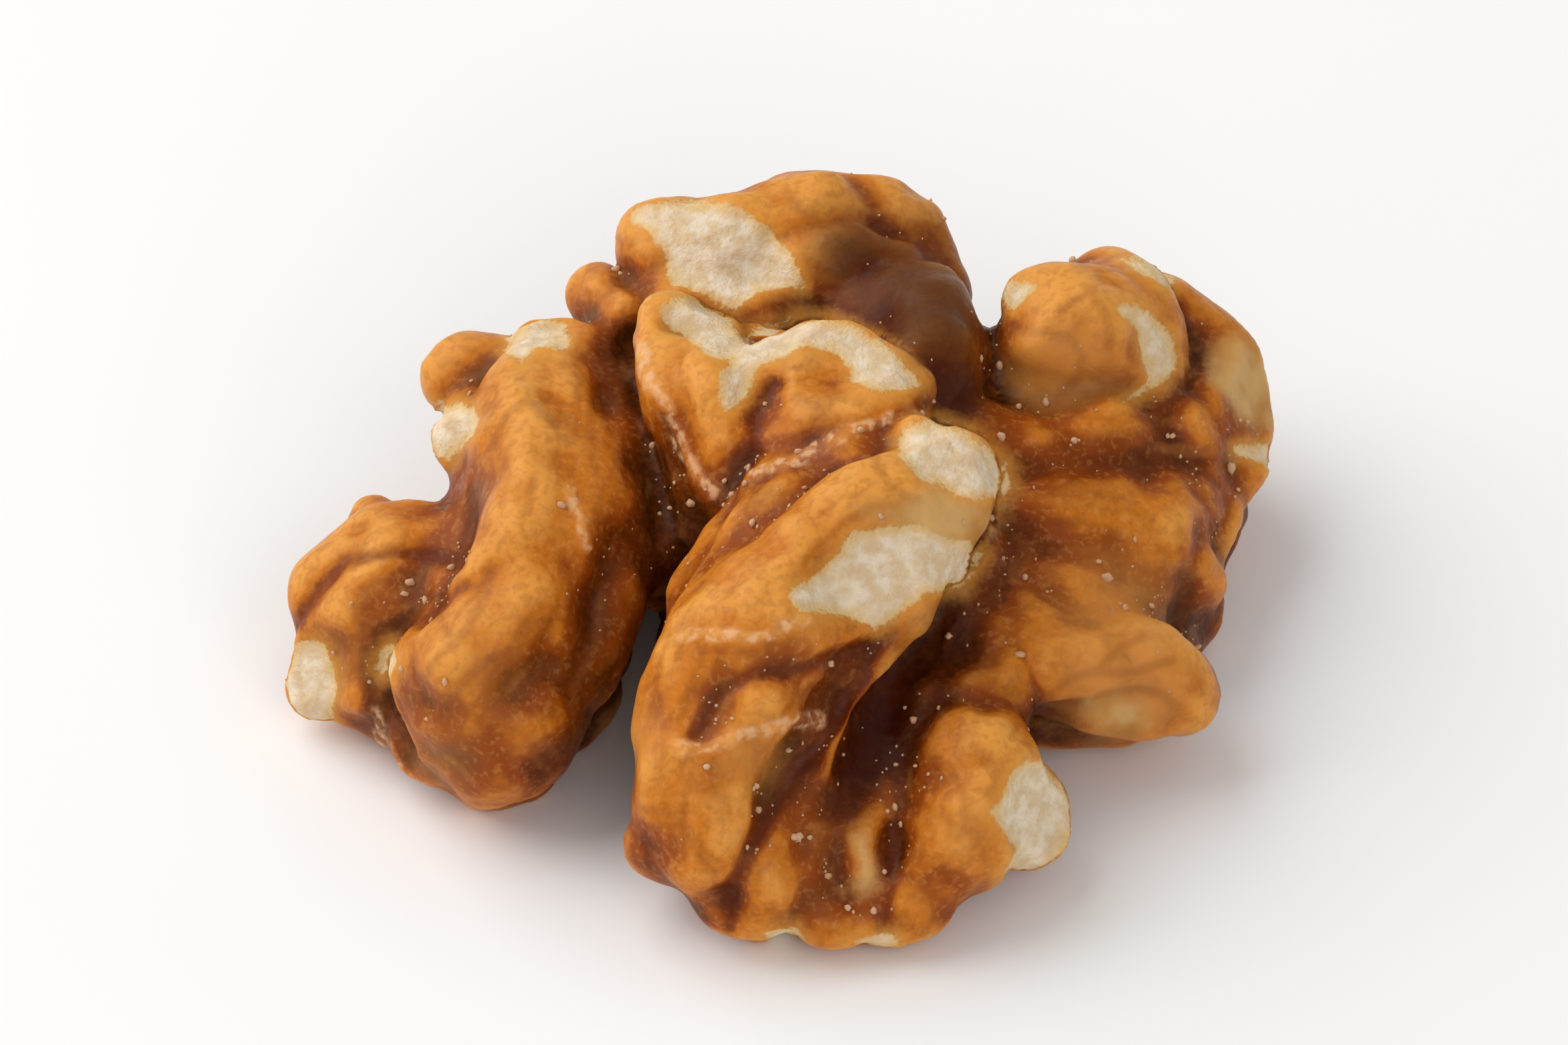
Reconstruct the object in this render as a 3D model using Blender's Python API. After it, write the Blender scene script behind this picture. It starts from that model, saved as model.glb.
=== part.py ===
"""Half of a shelled walnut kernel, lying on its inner face with its rounded outer side up.

Metres, +Z up. The origin is on the surface that the kernel rests on, under the middle of its box.
X runs across the kernel's longest side and Y from its front to its back.
"""

import math

import bpy
import numpy as np
from mathutils import Vector

MM = 0.001

# How the folds are made into one skin.
SIDES = 20
STEPS_PER_SPAN = 8
CAP_ANGLES = (math.radians(35), math.radians(60), math.radians(80))
FLUTE_DEPTH = 0.07
FLUTE_TURN = math.radians(25)
VOXEL = 0.3 * MM
SOFTENING_PASSES = 3
LUMP_HEIGHT = 0.9 * MM
LUMP_SIZE = 2.6 * MM
CHIP_FADE = 0.35
LAST_SOFTENING_PASSES = 2
KEPT_FACES = 0.125

# Brings the middle of the box over the origin, and the lowest bulges a little under the surface, which cuts them flat.
SHIFT = np.array((0.04, 0.85, -0.45)) * MM

SKIN_COLOUR = (0.56, 0.27, 0.09, 1.0)
SKIN_ROUGHNESS = 0.5

# Each fold is a round ridge that runs through these points: x, y, z and radius, in millimetres.
LEFT_WING = {
    "left_ridge": [(-7.4, 5.2, 7.8, 1.1), (-8.0, 1.6, 8.4, 1.7), (-7.6, -2.2, 8.5, 1.8), (-8.0, -5.0, 7.6, 1.9),
                   (-9.3, -6.9, 6.2, 2.0)],
    "left_toe": [(-9.8, -6.2, 5.0, 2.4), (-8.8, -7.0, 4.3, 2.7), (-8.8, -6.2, 2.0, 2.1)],
    "left_flank": [(-6.0, 4.8, 7.7, 1.5), (-5.9, 0.8, 7.4, 2.1), (-6.1, -3.0, 6.8, 2.1), (-7.0, -5.8, 5.6, 2.2)],
    "left_shoulder": [(-6.7, 4.6, 7.9, 1.7), (-6.9, 1.2, 8.1, 2.0), (-6.8, -2.6, 7.8, 2.1), (-7.8, -5.6, 6.4, 2.2)],
    "left_slope": [(-8.6, 3.0, 6.8, 1.9), (-8.6, -0.4, 6.6, 1.7), (-9.4, -3.6, 5.4, 2.0)],
    "ear": [(-9.8, -2.0, 5.6, 1.7), (-11.8, -1.2, 5.3, 1.7), (-13.3, -1.9, 4.3, 1.8), (-13.7, -3.2, 2.8, 1.6)],
    "ear_web": [(-10.2, -1.8, 5.8, 1.6), (-11.7, -2.3, 5.4, 1.7), (-12.9, -3.0, 4.6, 1.6)],
    "ear_tip": [(-13.6, -3.0, 2.5, 1.3), (-14.4, -3.6, 2.0, 1.0)],
    "ear_bump": [(-12.2, -0.2, 5.2, 1.0), (-12.6, 0.3, 5.5, 0.8)],
    "ear_fold": [(-11.0, -3.2, 5.4, 1.2), (-12.4, -3.6, 4.5, 1.3), (-12.6, -4.6, 3.2, 1.3)],
    "ear_foot": [(-13.2, -3.4, 2.5, 1.4), (-11.6, -4.8, 2.2, 1.5), (-10.0, -6.4, 2.4, 1.7)],
    "left_knob": [(-8.6, 4.8, 6.6, 1.8), (-9.8, 5.4, 6.9, 1.55)],
    "left_stud": [(-8.7, 1.8, 6.8, 1.5), (-9.7, 2.2, 7.0, 1.25)],
    "left_skirt": [(-6.0, 6.0, 3.6, 2.2), (-8.4, 3.8, 3.2, 2.0), (-8.8, 0.5, 2.8, 1.9), (-10.6, -2.2, 2.8, 1.9)],
    "left_inner": [(-4.8, 3.2, 3.4, 1.8), (-5.9, -0.5, 3.4, 1.6), (-6.8, -4.2, 3.0, 1.8)],
}
BACK_WING = {
    "back_ridge": [(-3.4, 8.9, 9.0, 1.7), (-1.4, 8.7, 9.1, 2.0), (0.8, 9.6, 9.0, 2.2), (3.2, 10.0, 8.8, 1.8)],
    "back_face": [(-3.2, 7.3, 7.6, 2.1), (-0.4, 7.2, 7.6, 2.2), (1.4, 8.2, 7.0, 1.9)],
    "back_dome": [(0.5, 8.4, 8.9, 2.0), (1.8, 7.8, 8.8, 1.9), (3.0, 7.6, 8.5, 1.7)],
    "back_right": [(2.9, 10.0, 8.6, 1.7), (3.7, 9.2, 8.3, 1.7), (4.1, 7.9, 7.8, 1.6)],
    "back_shoulder": [(2.8, 6.6, 8.4, 1.8), (4.3, 5.2, 8.6, 2.0), (4.5, 3.2, 8.8, 1.9), (4.0, 1.8, 8.8, 1.7)],
    "back_fold_left": [(-3.6, 9.8, 7.4, 1.4), (-4.6, 10.0, 5.2, 1.3), (-5.4, 9.4, 3.0, 1.5)],
    "back_fold_middle": [(0.4, 11.0, 8.0, 1.4), (-0.8, 11.5, 6.2, 1.4), (-2.0, 11.6, 3.6, 1.6)],
    "back_fold_right": [(2.9, 10.8, 7.6, 1.5), (2.4, 11.4, 5.2, 1.5), (1.0, 11.6, 2.8, 1.6)],
    "back_web": [(-3.0, 9.6, 5.2, 2.0), (0.0, 10.2, 5.4, 2.3), (2.8, 9.6, 5.0, 2.1)],
    "back_drop": [(-5.9, 8.2, 7.6, 1.1), (-4.9, 6.2, 8.5, 0.9)],
    "back_skirt": [(5.3, 6.8, 3.4, 2.1), (4.2, 9.2, 2.7, 2.3), (1.2, 10.7, 2.3, 2.5), (-2.4, 9.8, 2.9, 2.5),
                   (-5.0, 7.4, 3.6, 2.3)],
}
MIDDLE = {
    "rib": [(-3.4, 3.9, 10.3, 1.0), (-3.4, 1.2, 10.0, 1.1), (-2.7, -0.9, 9.0, 1.0), (-2.2, -2.3, 7.6, 0.9)],
    "rib_top": [(-3.2, 3.9, 9.7, 1.3), (-2.3, 3.0, 9.8, 1.4), (-1.4, 1.6, 9.9, 1.3)],
    "rib_face": [(-2.6, 2.6, 10.0, 1.3), (-2.1, 0.8, 10.1, 1.4), (-1.7, -1.2, 9.2, 1.3), (-1.6, -2.6, 8.0, 1.1)],
    "crown": [(-1.9, -0.2, 10.0, 1.1), (-0.8, 1.2, 10.6, 1.2), (0.9, 1.4, 10.9, 1.4), (2.5, 0.8, 10.9, 1.3),
              (3.7, 0.5, 10.4, 1.0)],
    "crown_slope": [(-0.5, 0.4, 9.9, 1.6), (1.4, 0.2, 10.2, 1.7), (3.0, -0.2, 10.3, 1.5)],
    "keel_root": [(0.4, -2.4, 9.1, 1.7), (2.4, -2.6, 9.7, 1.7), (4.0, -2.2, 10.1, 1.5)],
    "crown_face": [(-0.6, -0.6, 9.4, 1.7), (1.2, -1.0, 9.8, 1.9), (3.0, -1.0, 10.0, 1.6)],
}
FRONT_WING = {
    "keel": [(5.1, -3.1, 10.8, 1.5), (3.4, -5.0, 10.1, 2.1), (1.2, -6.7, 9.1, 2.5), (-0.9, -8.4, 7.7, 2.8),
             (-2.0, -10.4, 6.0, 2.6), (-2.1, -11.7, 4.4, 2.5), (-1.0, -12.7, 2.8, 2.2)],
    "keel_corner": [(-3.0, -11.6, 3.6, 1.5), (-3.6, -12.1, 3.2, 1.3)],
    "keel_side": [(4.7, -4.4, 9.9, 1.5), (4.2, -6.2, 9.1, 1.4), (2.6, -7.6, 8.2, 1.3)],
    "keel_tip": [(4.3, -2.7, 10.9, 1.3), (5.2, -3.4, 10.5, 1.5), (4.3, -4.7, 9.9, 1.8)],
    "keel_left": [(0.6, -3.2, 9.4, 1.9), (-0.9, -5.6, 8.2, 2.2), (-1.8, -8.0, 6.6, 2.1), (-2.4, -10.4, 4.6, 2.1)],
    "keel_rib": [(2.4, -8.1, 8.3, 1.1), (1.7, -9.2, 7.1, 1.2), (0.9, -10.6, 5.7, 1.3), (0.5, -11.9, 3.9, 1.5),
                 (0.6, -12.7, 2.5, 1.6)],
    "chin": [(0.6, -12.9, 2.2, 1.5), (1.8, -13.6, 1.7, 1.2), (3.4, -13.3, 1.9, 1.3), (4.4, -12.3, 2.3, 1.4)],
    "chin_lump": [(2.2, -11.6, 3.8, 1.3), (2.3, -12.6, 3.0, 1.1)],
    "heel": [(5.7, -9.0, 4.0, 1.8), (5.6, -10.2, 4.6, 2.0), (5.7, -11.2, 4.0, 2.2), (4.6, -12.1, 2.8, 1.7)],
    "heel_tip": [(6.2, -10.5, 4.2, 2.0), (7.1, -10.5, 3.3, 1.8)],
    "front_skirt": [(-2.4, 0.4, 3.6, 1.8), (-1.8, -4.6, 3.6, 1.9), (-2.0, -9.4, 2.8, 2.0), (-0.8, -12.2, 2.1, 2.2)],
}
RIGHT_WING = {
    "thumb": [(7.0, -5.4, 5.6, 1.7), (8.6, -5.8, 5.1, 1.8), (10.7, -5.4, 4.2, 2.0), (12.0, -4.9, 3.2, 1.6)],
    "apron": [(6.8, -2.6, 5.5, 2.0), (6.3, -5.2, 5.1, 2.0), (5.6, -7.4, 4.7, 2.0)],
    "cheek": [(7.2, -1.8, 5.4, 2.1), (9.3, -1.6, 5.0, 2.3), (11.3, -0.9, 4.4, 2.1), (12.6, -0.5, 3.5, 1.2)],
    "thumb_web": [(7.0, -3.6, 5.1, 2.0), (9.0, -3.5, 4.7, 2.1), (10.2, -3.0, 4.0, 1.8)],
    "saddle": [(5.4, -0.4, 7.0, 1.8), (7.6, 0.2, 6.3, 1.8), (10.0, 0.8, 5.5, 1.9), (11.8, 1.6, 4.6, 1.8)],
    "saddle_web": [(6.6, -1.2, 6.1, 2.0), (8.8, -0.7, 5.8, 2.2), (11.0, 0.2, 5.0, 2.1)],
    "dome_slope": [(7.4, 1.6, 6.7, 1.9), (9.4, 2.4, 6.6, 2.1), (11.4, 3.2, 5.7, 2.0)],
    "right_dome": [(8.2, 4.2, 7.8, 1.9), (8.9, 4.9, 8.9, 2.4), (10.2, 5.4, 8.2, 2.5)],
    "dome_back": [(9.0, 6.4, 7.4, 2.0), (10.4, 7.6, 7.4, 2.0)],
    "right_rim": [(9.8, 8.3, 7.4, 1.4), (11.4, 8.4, 7.2, 1.3), (12.9, 7.5, 6.4, 1.4), (13.7, 6.1, 5.4, 1.7),
                  (13.9, 4.7, 4.7, 1.5), (13.2, 3.4, 4.3, 1.3), (12.7, 1.8, 3.9, 1.3), (12.5, -0.2, 3.0, 1.2)],
    "rim_bump": [(14.2, 4.6, 4.8, 0.9), (14.6, 4.2, 4.6, 0.7)],
    "rim_under": [(11.4, 9.4, 4.4, 1.3), (12.9, 7.8, 3.8, 1.3), (13.4, 5.8, 3.0, 1.2), (12.9, 3.2, 2.4, 1.3)],
    "right_outer": [(12.3, 0.8, 2.4, 1.3), (11.3, -1.2, 2.4, 1.2), (10.6, -3.4, 2.4, 1.3)],
    "right_skirt": [(7.6, -4.8, 3.0, 1.8), (10.0, -4.4, 2.5, 1.8), (11.2, -1.4, 1.9, 1.8), (12.0, 2.6, 2.2, 1.9),
                    (12.4, 6.0, 2.9, 2.0), (10.3, 8.2, 3.4, 2.0), (8.2, 6.4, 3.6, 1.9)],
}
# The flesh under the folds, which gives the valleys between them a floor.
FLESH = {
    "left_flesh": [(-6.8, 4.0, 5.6, 2.6), (-7.2, 0.0, 5.4, 2.7), (-8.0, -4.6, 4.6, 2.7)],
    "cleft_floor": [(6.3, 3.4, 6.0, 1.8), (6.6, 5.6, 4.6, 1.9), (6.8, 7.4, 3.2, 1.9)],
    "left_bridge": [(-4.0, 3.0, 7.0, 2.2), (-4.0, 0.6, 6.6, 2.0), (-3.9, -1.4, 5.8, 1.9)],
    "back_flesh": [(-3.2, 7.2, 5.8, 3.0), (0.4, 8.2, 5.8, 3.3), (3.2, 7.4, 5.4, 3.0)],
    "bridge": [(-2.6, 3.6, 6.4, 3.2), (0.6, 1.6, 7.2, 3.2), (4.2, 0.8, 6.6, 3.0), (7.6, 1.8, 5.8, 2.8)],
    "front_flesh": [(1.6, -2.0, 7.0, 2.7), (0.8, -5.8, 5.8, 3.0), (0.6, -9.4, 4.2, 2.6)],
    "groove_floor": [(5.0, -3.4, 6.3, 2.2), (4.2, -6.4, 5.0, 2.1), (3.1, -9.8, 3.5, 2.1)],
    "right_flesh": [(9.6, 5.4, 5.4, 3.0), (10.4, 2.0, 4.6, 2.8), (9.2, -2.4, 4.0, 2.4)],
    "rim_flesh": [(11.6, 7.2, 5.8, 1.9), (12.4, 5.0, 5.0, 2.0), (12.0, 2.6, 4.4, 2.0)],
}
# Low folds round the hollow of the inner face.
INNER_FACE = {
    "inner_left": [(-6.6, 2.6, 2.4, 1.5), (-6.0, -1.4, 2.2, 1.5), (-7.4, -4.6, 2.0, 1.6)],
    "inner_back": [(-3.6, 6.4, 2.8, 1.6), (-0.6, 6.8, 3.0, 1.6), (2.4, 6.2, 3.0, 1.6)],
    "inner_middle": [(-2.6, 2.6, 4.6, 1.7), (0.4, 1.0, 4.4, 1.8), (3.8, 0.6, 4.0, 1.8), (6.8, 1.4, 3.4, 1.7)],
    "inner_right": [(9.4, 4.6, 2.8, 1.6), (9.2, 1.0, 2.6, 1.6), (8.0, -2.2, 2.6, 1.6)],
    "inner_front": [(1.6, -3.2, 4.0, 1.8), (1.2, -6.4, 3.4, 1.7), (1.8, -9.6, 2.6, 1.6)],
}

# Creases in the skin: the route that each follows, its width and its depth.
CREASES = {
    "keel_crease": ([(3.0, -9.1, 8.6), (1.5, -10.6, 7.3), (0.2, -12.1, 6.2), (-0.9, -14.0, 4.9), (-1.6, -14.4, 3.4)],
                    0.6, 0.5),
    "keel_flute": ([(-2.3, -11.8, 8.0), (-1.6, -10.9, 9.1), (0.6, -10.4, 9.2), (2.3, -9.2, 8.7)], 0.6, 0.2),
    "keel_flute_low": ([(-2.6, -13.1, 6.8), (-0.8, -12.8, 7.2), (0.6, -11.4, 6.8)], 0.7, 0.2),
    "front_crease": ([(3.2, -12.8, 4.2), (3.0, -13.7, 3.3), (3.3, -14.5, 2.1)], 0.7, 0.3),
    "face_vein": ([(-0.9, -3.7, 10.6), (0.4, -3.2, 10.8), (1.9, -2.5, 10.8), (3.2, -2.0, 11.2)], 0.6, 0.15),
    "groove": ([(5.4, -6.4, 9.0), (4.6, -6.5, 7.4), (3.6, -7.7, 6.4), (2.6, -10.2, 6.3), (1.7, -12.0, 5.4)], 1.0, 0.6),
    "flank_crease": ([(-5.8, 2.4, 8.8), (-5.8, -0.3, 8.8), (-5.7, -3.0, 8.7), (-5.7, -4.5, 7.9), (-5.9, -6.4, 7.0),
                      (-6.3, -8.2, 6.1)], 0.6, 0.12),
    "ear_crease": ([(-14.9, -2.7, 4.0), (-14.0, -2.7, 5.8), (-13.0, -2.3, 6.3), (-11.4, -2.5, 6.6)], 0.6, 0.12),
    "ear_root": ([(-10.4, -5.9, 7.2), (-11.2, -5.6, 6.6), (-12.3, -4.8, 5.3), (-12.9, -5.2, 4.0)], 0.6, 0.25),
    "back_wrinkle_right": ([(2.2, 10.6, 10.6), (2.9, 9.4, 10.5), (3.1, 8.2, 10.2), (2.7, 7.0, 10.0)], 0.7, 0.2),
    "crown_crease": ([(-0.3, 0.0, 11.4), (-0.8, -1.3, 10.8), (-1.3, -2.4, 10.0), (-1.8, -4.2, 9.8)], 0.6, 0.15),
    "rib_root": ([(-3.7, -0.6, 10.0), (-3.3, -2.0, 9.0), (-2.8, -3.2, 8.0)], 0.7, 0.4),
    "thumb_crease": ([(8.2, -7.4, 4.7), (9.8, -7.4, 4.8), (11.3, -7.1, 5.0)], 0.5, 0.25),
    "cheek_crease": ([(13.2, -0.8, 5.9), (12.7, -2.1, 5.4), (12.3, -2.6, 4.0)], 0.6, 0.45),
    "cheek_line": ([(9.6, 0.6, 8.4), (10.4, -1.6, 7.8), (10.4, -3.4, 6.2)], 0.6, 0.15),
    "saddle_line": ([(7.0, 2.6, 8.9), (8.8, 2.4, 8.8), (11.0, 2.8, 7.8), (12.8, 2.4, 6.2)], 0.8, 0.25),
    "behind_left": ([(-6.4, 8.4, 6.6), (-6.8, 8.2, 4.6), (-6.8, 8.0, 2.6)], 0.7, 0.5),
    "behind_left_ridge": ([(-9.4, 4.2, 5.4), (-10.4, 3.0, 4.4), (-10.8, 1.0, 3.4)], 0.7, 0.5),
    "dome_outside": ([(8.0, 8.0, 6.6), (9.6, 9.6, 5.0), (11.0, 10.6, 3.4)], 0.7, 0.5),
}

# Spots where a piece has broken off: a point on the flat that it left, the flat's direction, and the reach from it.
CHIPS = {
    "back_chip": ((-2.0, 6.5, 10.2), (-0.1, -0.75, 0.65), 2.9),
    "crown_chip": ((0.9, 1.5, 12.1), (0.05, -0.3, 0.95), 2.9),
    "rib_chip": ((-2.8, 3.6, 10.9), (0.1, -0.5, 0.86), 1.6),
    "keel_chip": ((2.8, -7.4, 10.5), (0.25, -0.72, 0.65), 3.0),
    "tip_chip": ((5.2, -3.9, 11.9), (0.2, -0.35, 0.91), 1.9),
    "tip_side_chip": ((6.3, -5.2, 10.9), (0.75, -0.5, 0.4), 1.6),
    "dome_chip": ((11.6, 4.1, 9.0), (0.75, -0.5, 0.43), 2.2),
    "rim_chip": ((14.5, 5.4, 6.0), (0.8, -0.3, 0.5), 2.6),
    "heel_chip": ((7.6, -11.5, 4.0), (0.75, -0.55, 0.35), 2.0),
    "ear_chip": ((-14.7, -4.1, 2.9), (-0.55, -0.7, 0.45), 1.6),
    "left_tip_chip": ((-7.4, 5.0, 9.1), (0.0, 0.3, 0.95), 1.4),
    "stud_chip": ((-10.4, 1.7, 7.6), (-0.6, -0.5, 0.6), 1.3),
    "toe_chip": ((-11.8, -6.6, 2.6), (-0.75, -0.6, 0.3), 1.5),
}


def fold_profile():
    """The outline that every fold is swept with: a circle 1 mm in radius with three shallow flutes."""
    curve = bpy.data.curves.new("fold_profile", "CURVE")
    spline = curve.splines.new("POLY")
    spline.points.add(SIDES - 1)
    spline.use_cyclic_u = True
    for index, point in enumerate(spline.points):
        angle = index * 2 * math.pi / SIDES
        reach = MM * (1 + FLUTE_DEPTH * math.cos(3 * angle))
        point.co = (reach * math.cos(angle), reach * math.sin(angle), 0, 1)
    return curve


def with_round_ends(stops):
    """The stops with both ends carried on by their own radius, where the radius falls as a circle's does."""
    caps = []
    for end, beside in ((stops[0], stops[1]), (stops[-1], stops[-2])):
        centre, radius = Vector(end[:3]), end[3]
        away = (centre - Vector(beside[:3])).normalized()
        cap = []
        for angle in CAP_ANGLES:
            cap.append((*(centre + away * radius * math.sin(angle)), radius * math.cos(angle)))
        caps.append(cap)
    return [*reversed(caps[0]), *stops, *caps[1]]


def add_fold(curve, stops, turn):
    """One fold as a smooth curve through its stops, thick as their radii say, with flutes that wind round it slowly."""
    stops = with_round_ends(stops)
    spline = curve.splines.new("BEZIER")
    spline.bezier_points.add(len(stops) - 1)
    spline.resolution_u = STEPS_PER_SPAN
    spline.radius_interpolation = "CARDINAL"
    for index, (point, (x, y, z, radius)) in enumerate(zip(spline.bezier_points, stops)):
        point.co = (x * MM, y * MM, z * MM)
        point.radius = radius
        point.tilt = turn + index * FLUTE_TURN
        point.handle_left_type = "AUTO"
        point.handle_right_type = "AUTO"


def fold_curves(profile):
    """All the folds and the flesh under them, as curves that overlap. The remesh then makes one skin of them."""
    curve = bpy.data.curves.new("folds", "CURVE")
    curve.dimensions = "3D"
    curve.bevel_mode = "OBJECT"
    curve.bevel_object = profile
    curve.use_fill_caps = True
    for group in (LEFT_WING, BACK_WING, MIDDLE, FRONT_WING, RIGHT_WING, FLESH, INNER_FACE):
        for turn, stops in enumerate(group.values()):
            add_fold(curve, stops, turn)
    return curve


def distance_to_route(points, route):
    """Each point's distance to the nearest of the route's straight pieces."""
    nearest = np.full(len(points), np.inf)
    for start, end in zip(route, route[1:]):
        along = end - start
        share = np.clip((points - start) @ along / (along @ along), 0, 1)
        nearest = np.minimum(nearest, np.linalg.norm(points - start - share[:, None] * along, axis=1))
    return nearest


def grooved(points, normals):
    """The points sunk along the creases, most on the crease itself and less beside it, as exp(-(distance / width)^2)."""
    for stops, width, depth in CREASES.values():
        distance = distance_to_route(points, np.array(stops) * MM)
        points = points - normals * (depth * MM * np.exp(-((distance / (width * MM)) ** 2)))[:, None]
    return points


def chipped(points):
    """The points with what stands over each chip's flat pressed down onto it, and less so towards the end of its reach."""
    for spot, direction, reach in CHIPS.values():
        normal = np.array(direction) / np.linalg.norm(direction)
        away = points - np.array(spot) * MM
        height = np.maximum(away @ normal, 0)
        share = np.clip((reach * MM - np.linalg.norm(away, axis=1)) / (CHIP_FADE * reach * MM), 0, 1)
        points = points - (height * share)[:, None] * normal
    return points


def in_scene(name, data):
    obj = bpy.data.objects.new(name, data)
    bpy.context.scene.collection.objects.link(obj)
    return obj


def evaluated_mesh(obj):
    """A mesh of the object as its curves and modifiers make it."""
    return bpy.data.meshes.new_from_object(obj.evaluated_get(bpy.context.evaluated_depsgraph_get()))


def add_details(mesh):
    """Creases, chips and the shift to the origin, on every vertex of the skin."""
    points = np.empty(len(mesh.vertices) * 3, np.float32)
    normals = np.empty_like(points)
    mesh.vertices.foreach_get("co", points)
    mesh.vertex_normals.foreach_get("vector", normals)
    points = chipped(grooved(points.reshape(-1, 3), normals.reshape(-1, 3))) + SHIFT
    mesh.vertices.foreach_set("co", points.astype(np.float32).ravel())
    mesh.update()


def skin_material():
    material = bpy.data.materials.new("walnut_skin")
    material.use_nodes = True
    shader = material.node_tree.nodes["Principled BSDF"]
    shader.inputs["Base Color"].default_value = SKIN_COLOUR
    shader.inputs["Roughness"].default_value = SKIN_ROUGHNESS
    return material


def floor_cutter():
    """A block under the kernel: it takes off what reaches below the surface and leaves flat seats."""
    bpy.ops.mesh.primitive_cube_add(size=60 * MM, location=(0, 0, -30 * MM))
    cutter = bpy.context.object
    cutter.name = "seat_cutter"
    cutter.hide_render = True
    cutter.display_type = "WIRE"
    return cutter


def make_skin(folds):
    """One skin round all the folds, with soft valleys and low lumps."""
    skin = in_scene("skin", evaluated_mesh(folds))

    remesh = skin.modifiers.new("one_skin", "REMESH")
    remesh.mode = "VOXEL"
    remesh.voxel_size = VOXEL
    remesh.use_smooth_shade = True

    smooth = skin.modifiers.new("soft_valleys", "SMOOTH")
    smooth.factor = 0.5
    smooth.iterations = SOFTENING_PASSES

    lumps = bpy.data.textures.new("lumps", "CLOUDS")
    lumps.noise_scale = LUMP_SIZE
    lumps.noise_depth = 1
    displace = skin.modifiers.new("lumps", "DISPLACE")
    displace.texture = lumps
    displace.texture_coords = "LOCAL"
    displace.strength = LUMP_HEIGHT
    return skin


def build():
    for obj in list(bpy.data.objects):
        bpy.data.objects.remove(obj)
    profile = in_scene("fold_profile", fold_profile())
    folds = in_scene("folds", fold_curves(profile))
    skin = make_skin(folds)
    kernel = in_scene("walnut_kernel", evaluated_mesh(skin))
    add_details(kernel.data)
    kernel.data.materials.append(skin_material())
    for helper in (profile, folds, skin):
        bpy.data.objects.remove(helper)

    smooth = kernel.modifiers.new("soft_creases", "SMOOTH")
    smooth.factor = 0.5
    smooth.iterations = LAST_SOFTENING_PASSES

    decimate = kernel.modifiers.new("fewer_faces", "DECIMATE")
    decimate.ratio = KEPT_FACES

    cut = kernel.modifiers.new("flat_seats", "BOOLEAN")
    cut.operation = "DIFFERENCE"
    cut.object = floor_cutter()


build()
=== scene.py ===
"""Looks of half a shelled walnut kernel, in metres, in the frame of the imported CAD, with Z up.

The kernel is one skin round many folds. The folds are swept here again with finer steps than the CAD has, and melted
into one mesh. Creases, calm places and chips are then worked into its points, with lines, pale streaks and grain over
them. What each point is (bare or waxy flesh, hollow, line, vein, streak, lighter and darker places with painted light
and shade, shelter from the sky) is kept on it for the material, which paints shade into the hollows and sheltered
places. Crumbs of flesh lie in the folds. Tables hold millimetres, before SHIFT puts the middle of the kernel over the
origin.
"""

import math
from functools import partial

import bmesh
import bpy
import numpy as np
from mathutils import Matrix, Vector


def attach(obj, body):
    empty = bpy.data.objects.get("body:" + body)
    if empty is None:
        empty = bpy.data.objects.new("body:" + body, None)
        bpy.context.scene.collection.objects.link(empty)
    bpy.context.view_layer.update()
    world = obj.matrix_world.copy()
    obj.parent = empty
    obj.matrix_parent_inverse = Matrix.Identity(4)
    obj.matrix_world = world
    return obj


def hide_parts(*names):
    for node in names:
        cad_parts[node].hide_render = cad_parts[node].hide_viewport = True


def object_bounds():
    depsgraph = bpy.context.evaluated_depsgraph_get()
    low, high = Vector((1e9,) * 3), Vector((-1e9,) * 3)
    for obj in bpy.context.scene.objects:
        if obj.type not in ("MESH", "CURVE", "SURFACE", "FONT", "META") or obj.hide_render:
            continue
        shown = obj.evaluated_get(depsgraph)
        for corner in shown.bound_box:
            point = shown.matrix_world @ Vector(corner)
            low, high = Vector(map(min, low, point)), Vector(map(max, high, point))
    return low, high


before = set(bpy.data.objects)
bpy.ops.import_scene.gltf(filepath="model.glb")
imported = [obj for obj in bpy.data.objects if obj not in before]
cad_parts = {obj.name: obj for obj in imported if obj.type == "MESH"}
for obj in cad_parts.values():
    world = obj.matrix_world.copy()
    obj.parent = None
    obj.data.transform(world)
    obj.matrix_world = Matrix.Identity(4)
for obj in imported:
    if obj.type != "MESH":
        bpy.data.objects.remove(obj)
cad_box = [list(corner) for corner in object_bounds()]

MM = 0.001
SHIFT = np.array((0.04, 0.85, -0.45))

# Swept folds: corners round a fold, stations from one stop to the next, rows on a round end, shallow flutes that wind,
# and a direction that no fold runs in.
SIDES = 28
STEPS = 12
CAP_ANGLES = np.radians((18, 36, 52, 66, 78, 88))
FLUTES = 3
FLUTE_DEPTH = 0.04
FLUTE_TURN = math.radians(25)
ASIDE = (0.31, 0.42, 0.85)

# The melted skin: the size of its cells, the softening of its valleys, and the low lumps that move it in and out.
VOXEL = 0.186
SOFTENING_PASSES = 5
LUMP_HEIGHT = 0.9
LUMP_SIZE = 2.6
CHIP_FADE = 0.35

# How many times values are spread to the points beside them.
CALM_PASSES = 60
CHIP_PASSES = 2
SIGHT_PASSES = 3
CLOSE_PASSES = 12
WIDE_PASSES = 120
SHADE_PASSES = 6

# Marks: the half widths of lines and veins, how far they waver, and what each kind adds to the skin's height or takes
# off it.
LINE_WIDTH = 0.24
VEIN_WIDTH = 0.17
WAVER = 0.25
STREAK_HEIGHT = 0.1
LINE_DEPTH = 0.12
GRAIN_HEIGHT = 0.1
SWELL_HEIGHT = 0.2
SMALL_LUMP_HEIGHT = 0.12
FLESH_DEPTH = 0.09
FLESH_ROUGHNESS = 0.14

# How far a crest stands over the skin's broad form where a spot on the hidden sides is worn bare.
WORN_CREST = 0.12

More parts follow.
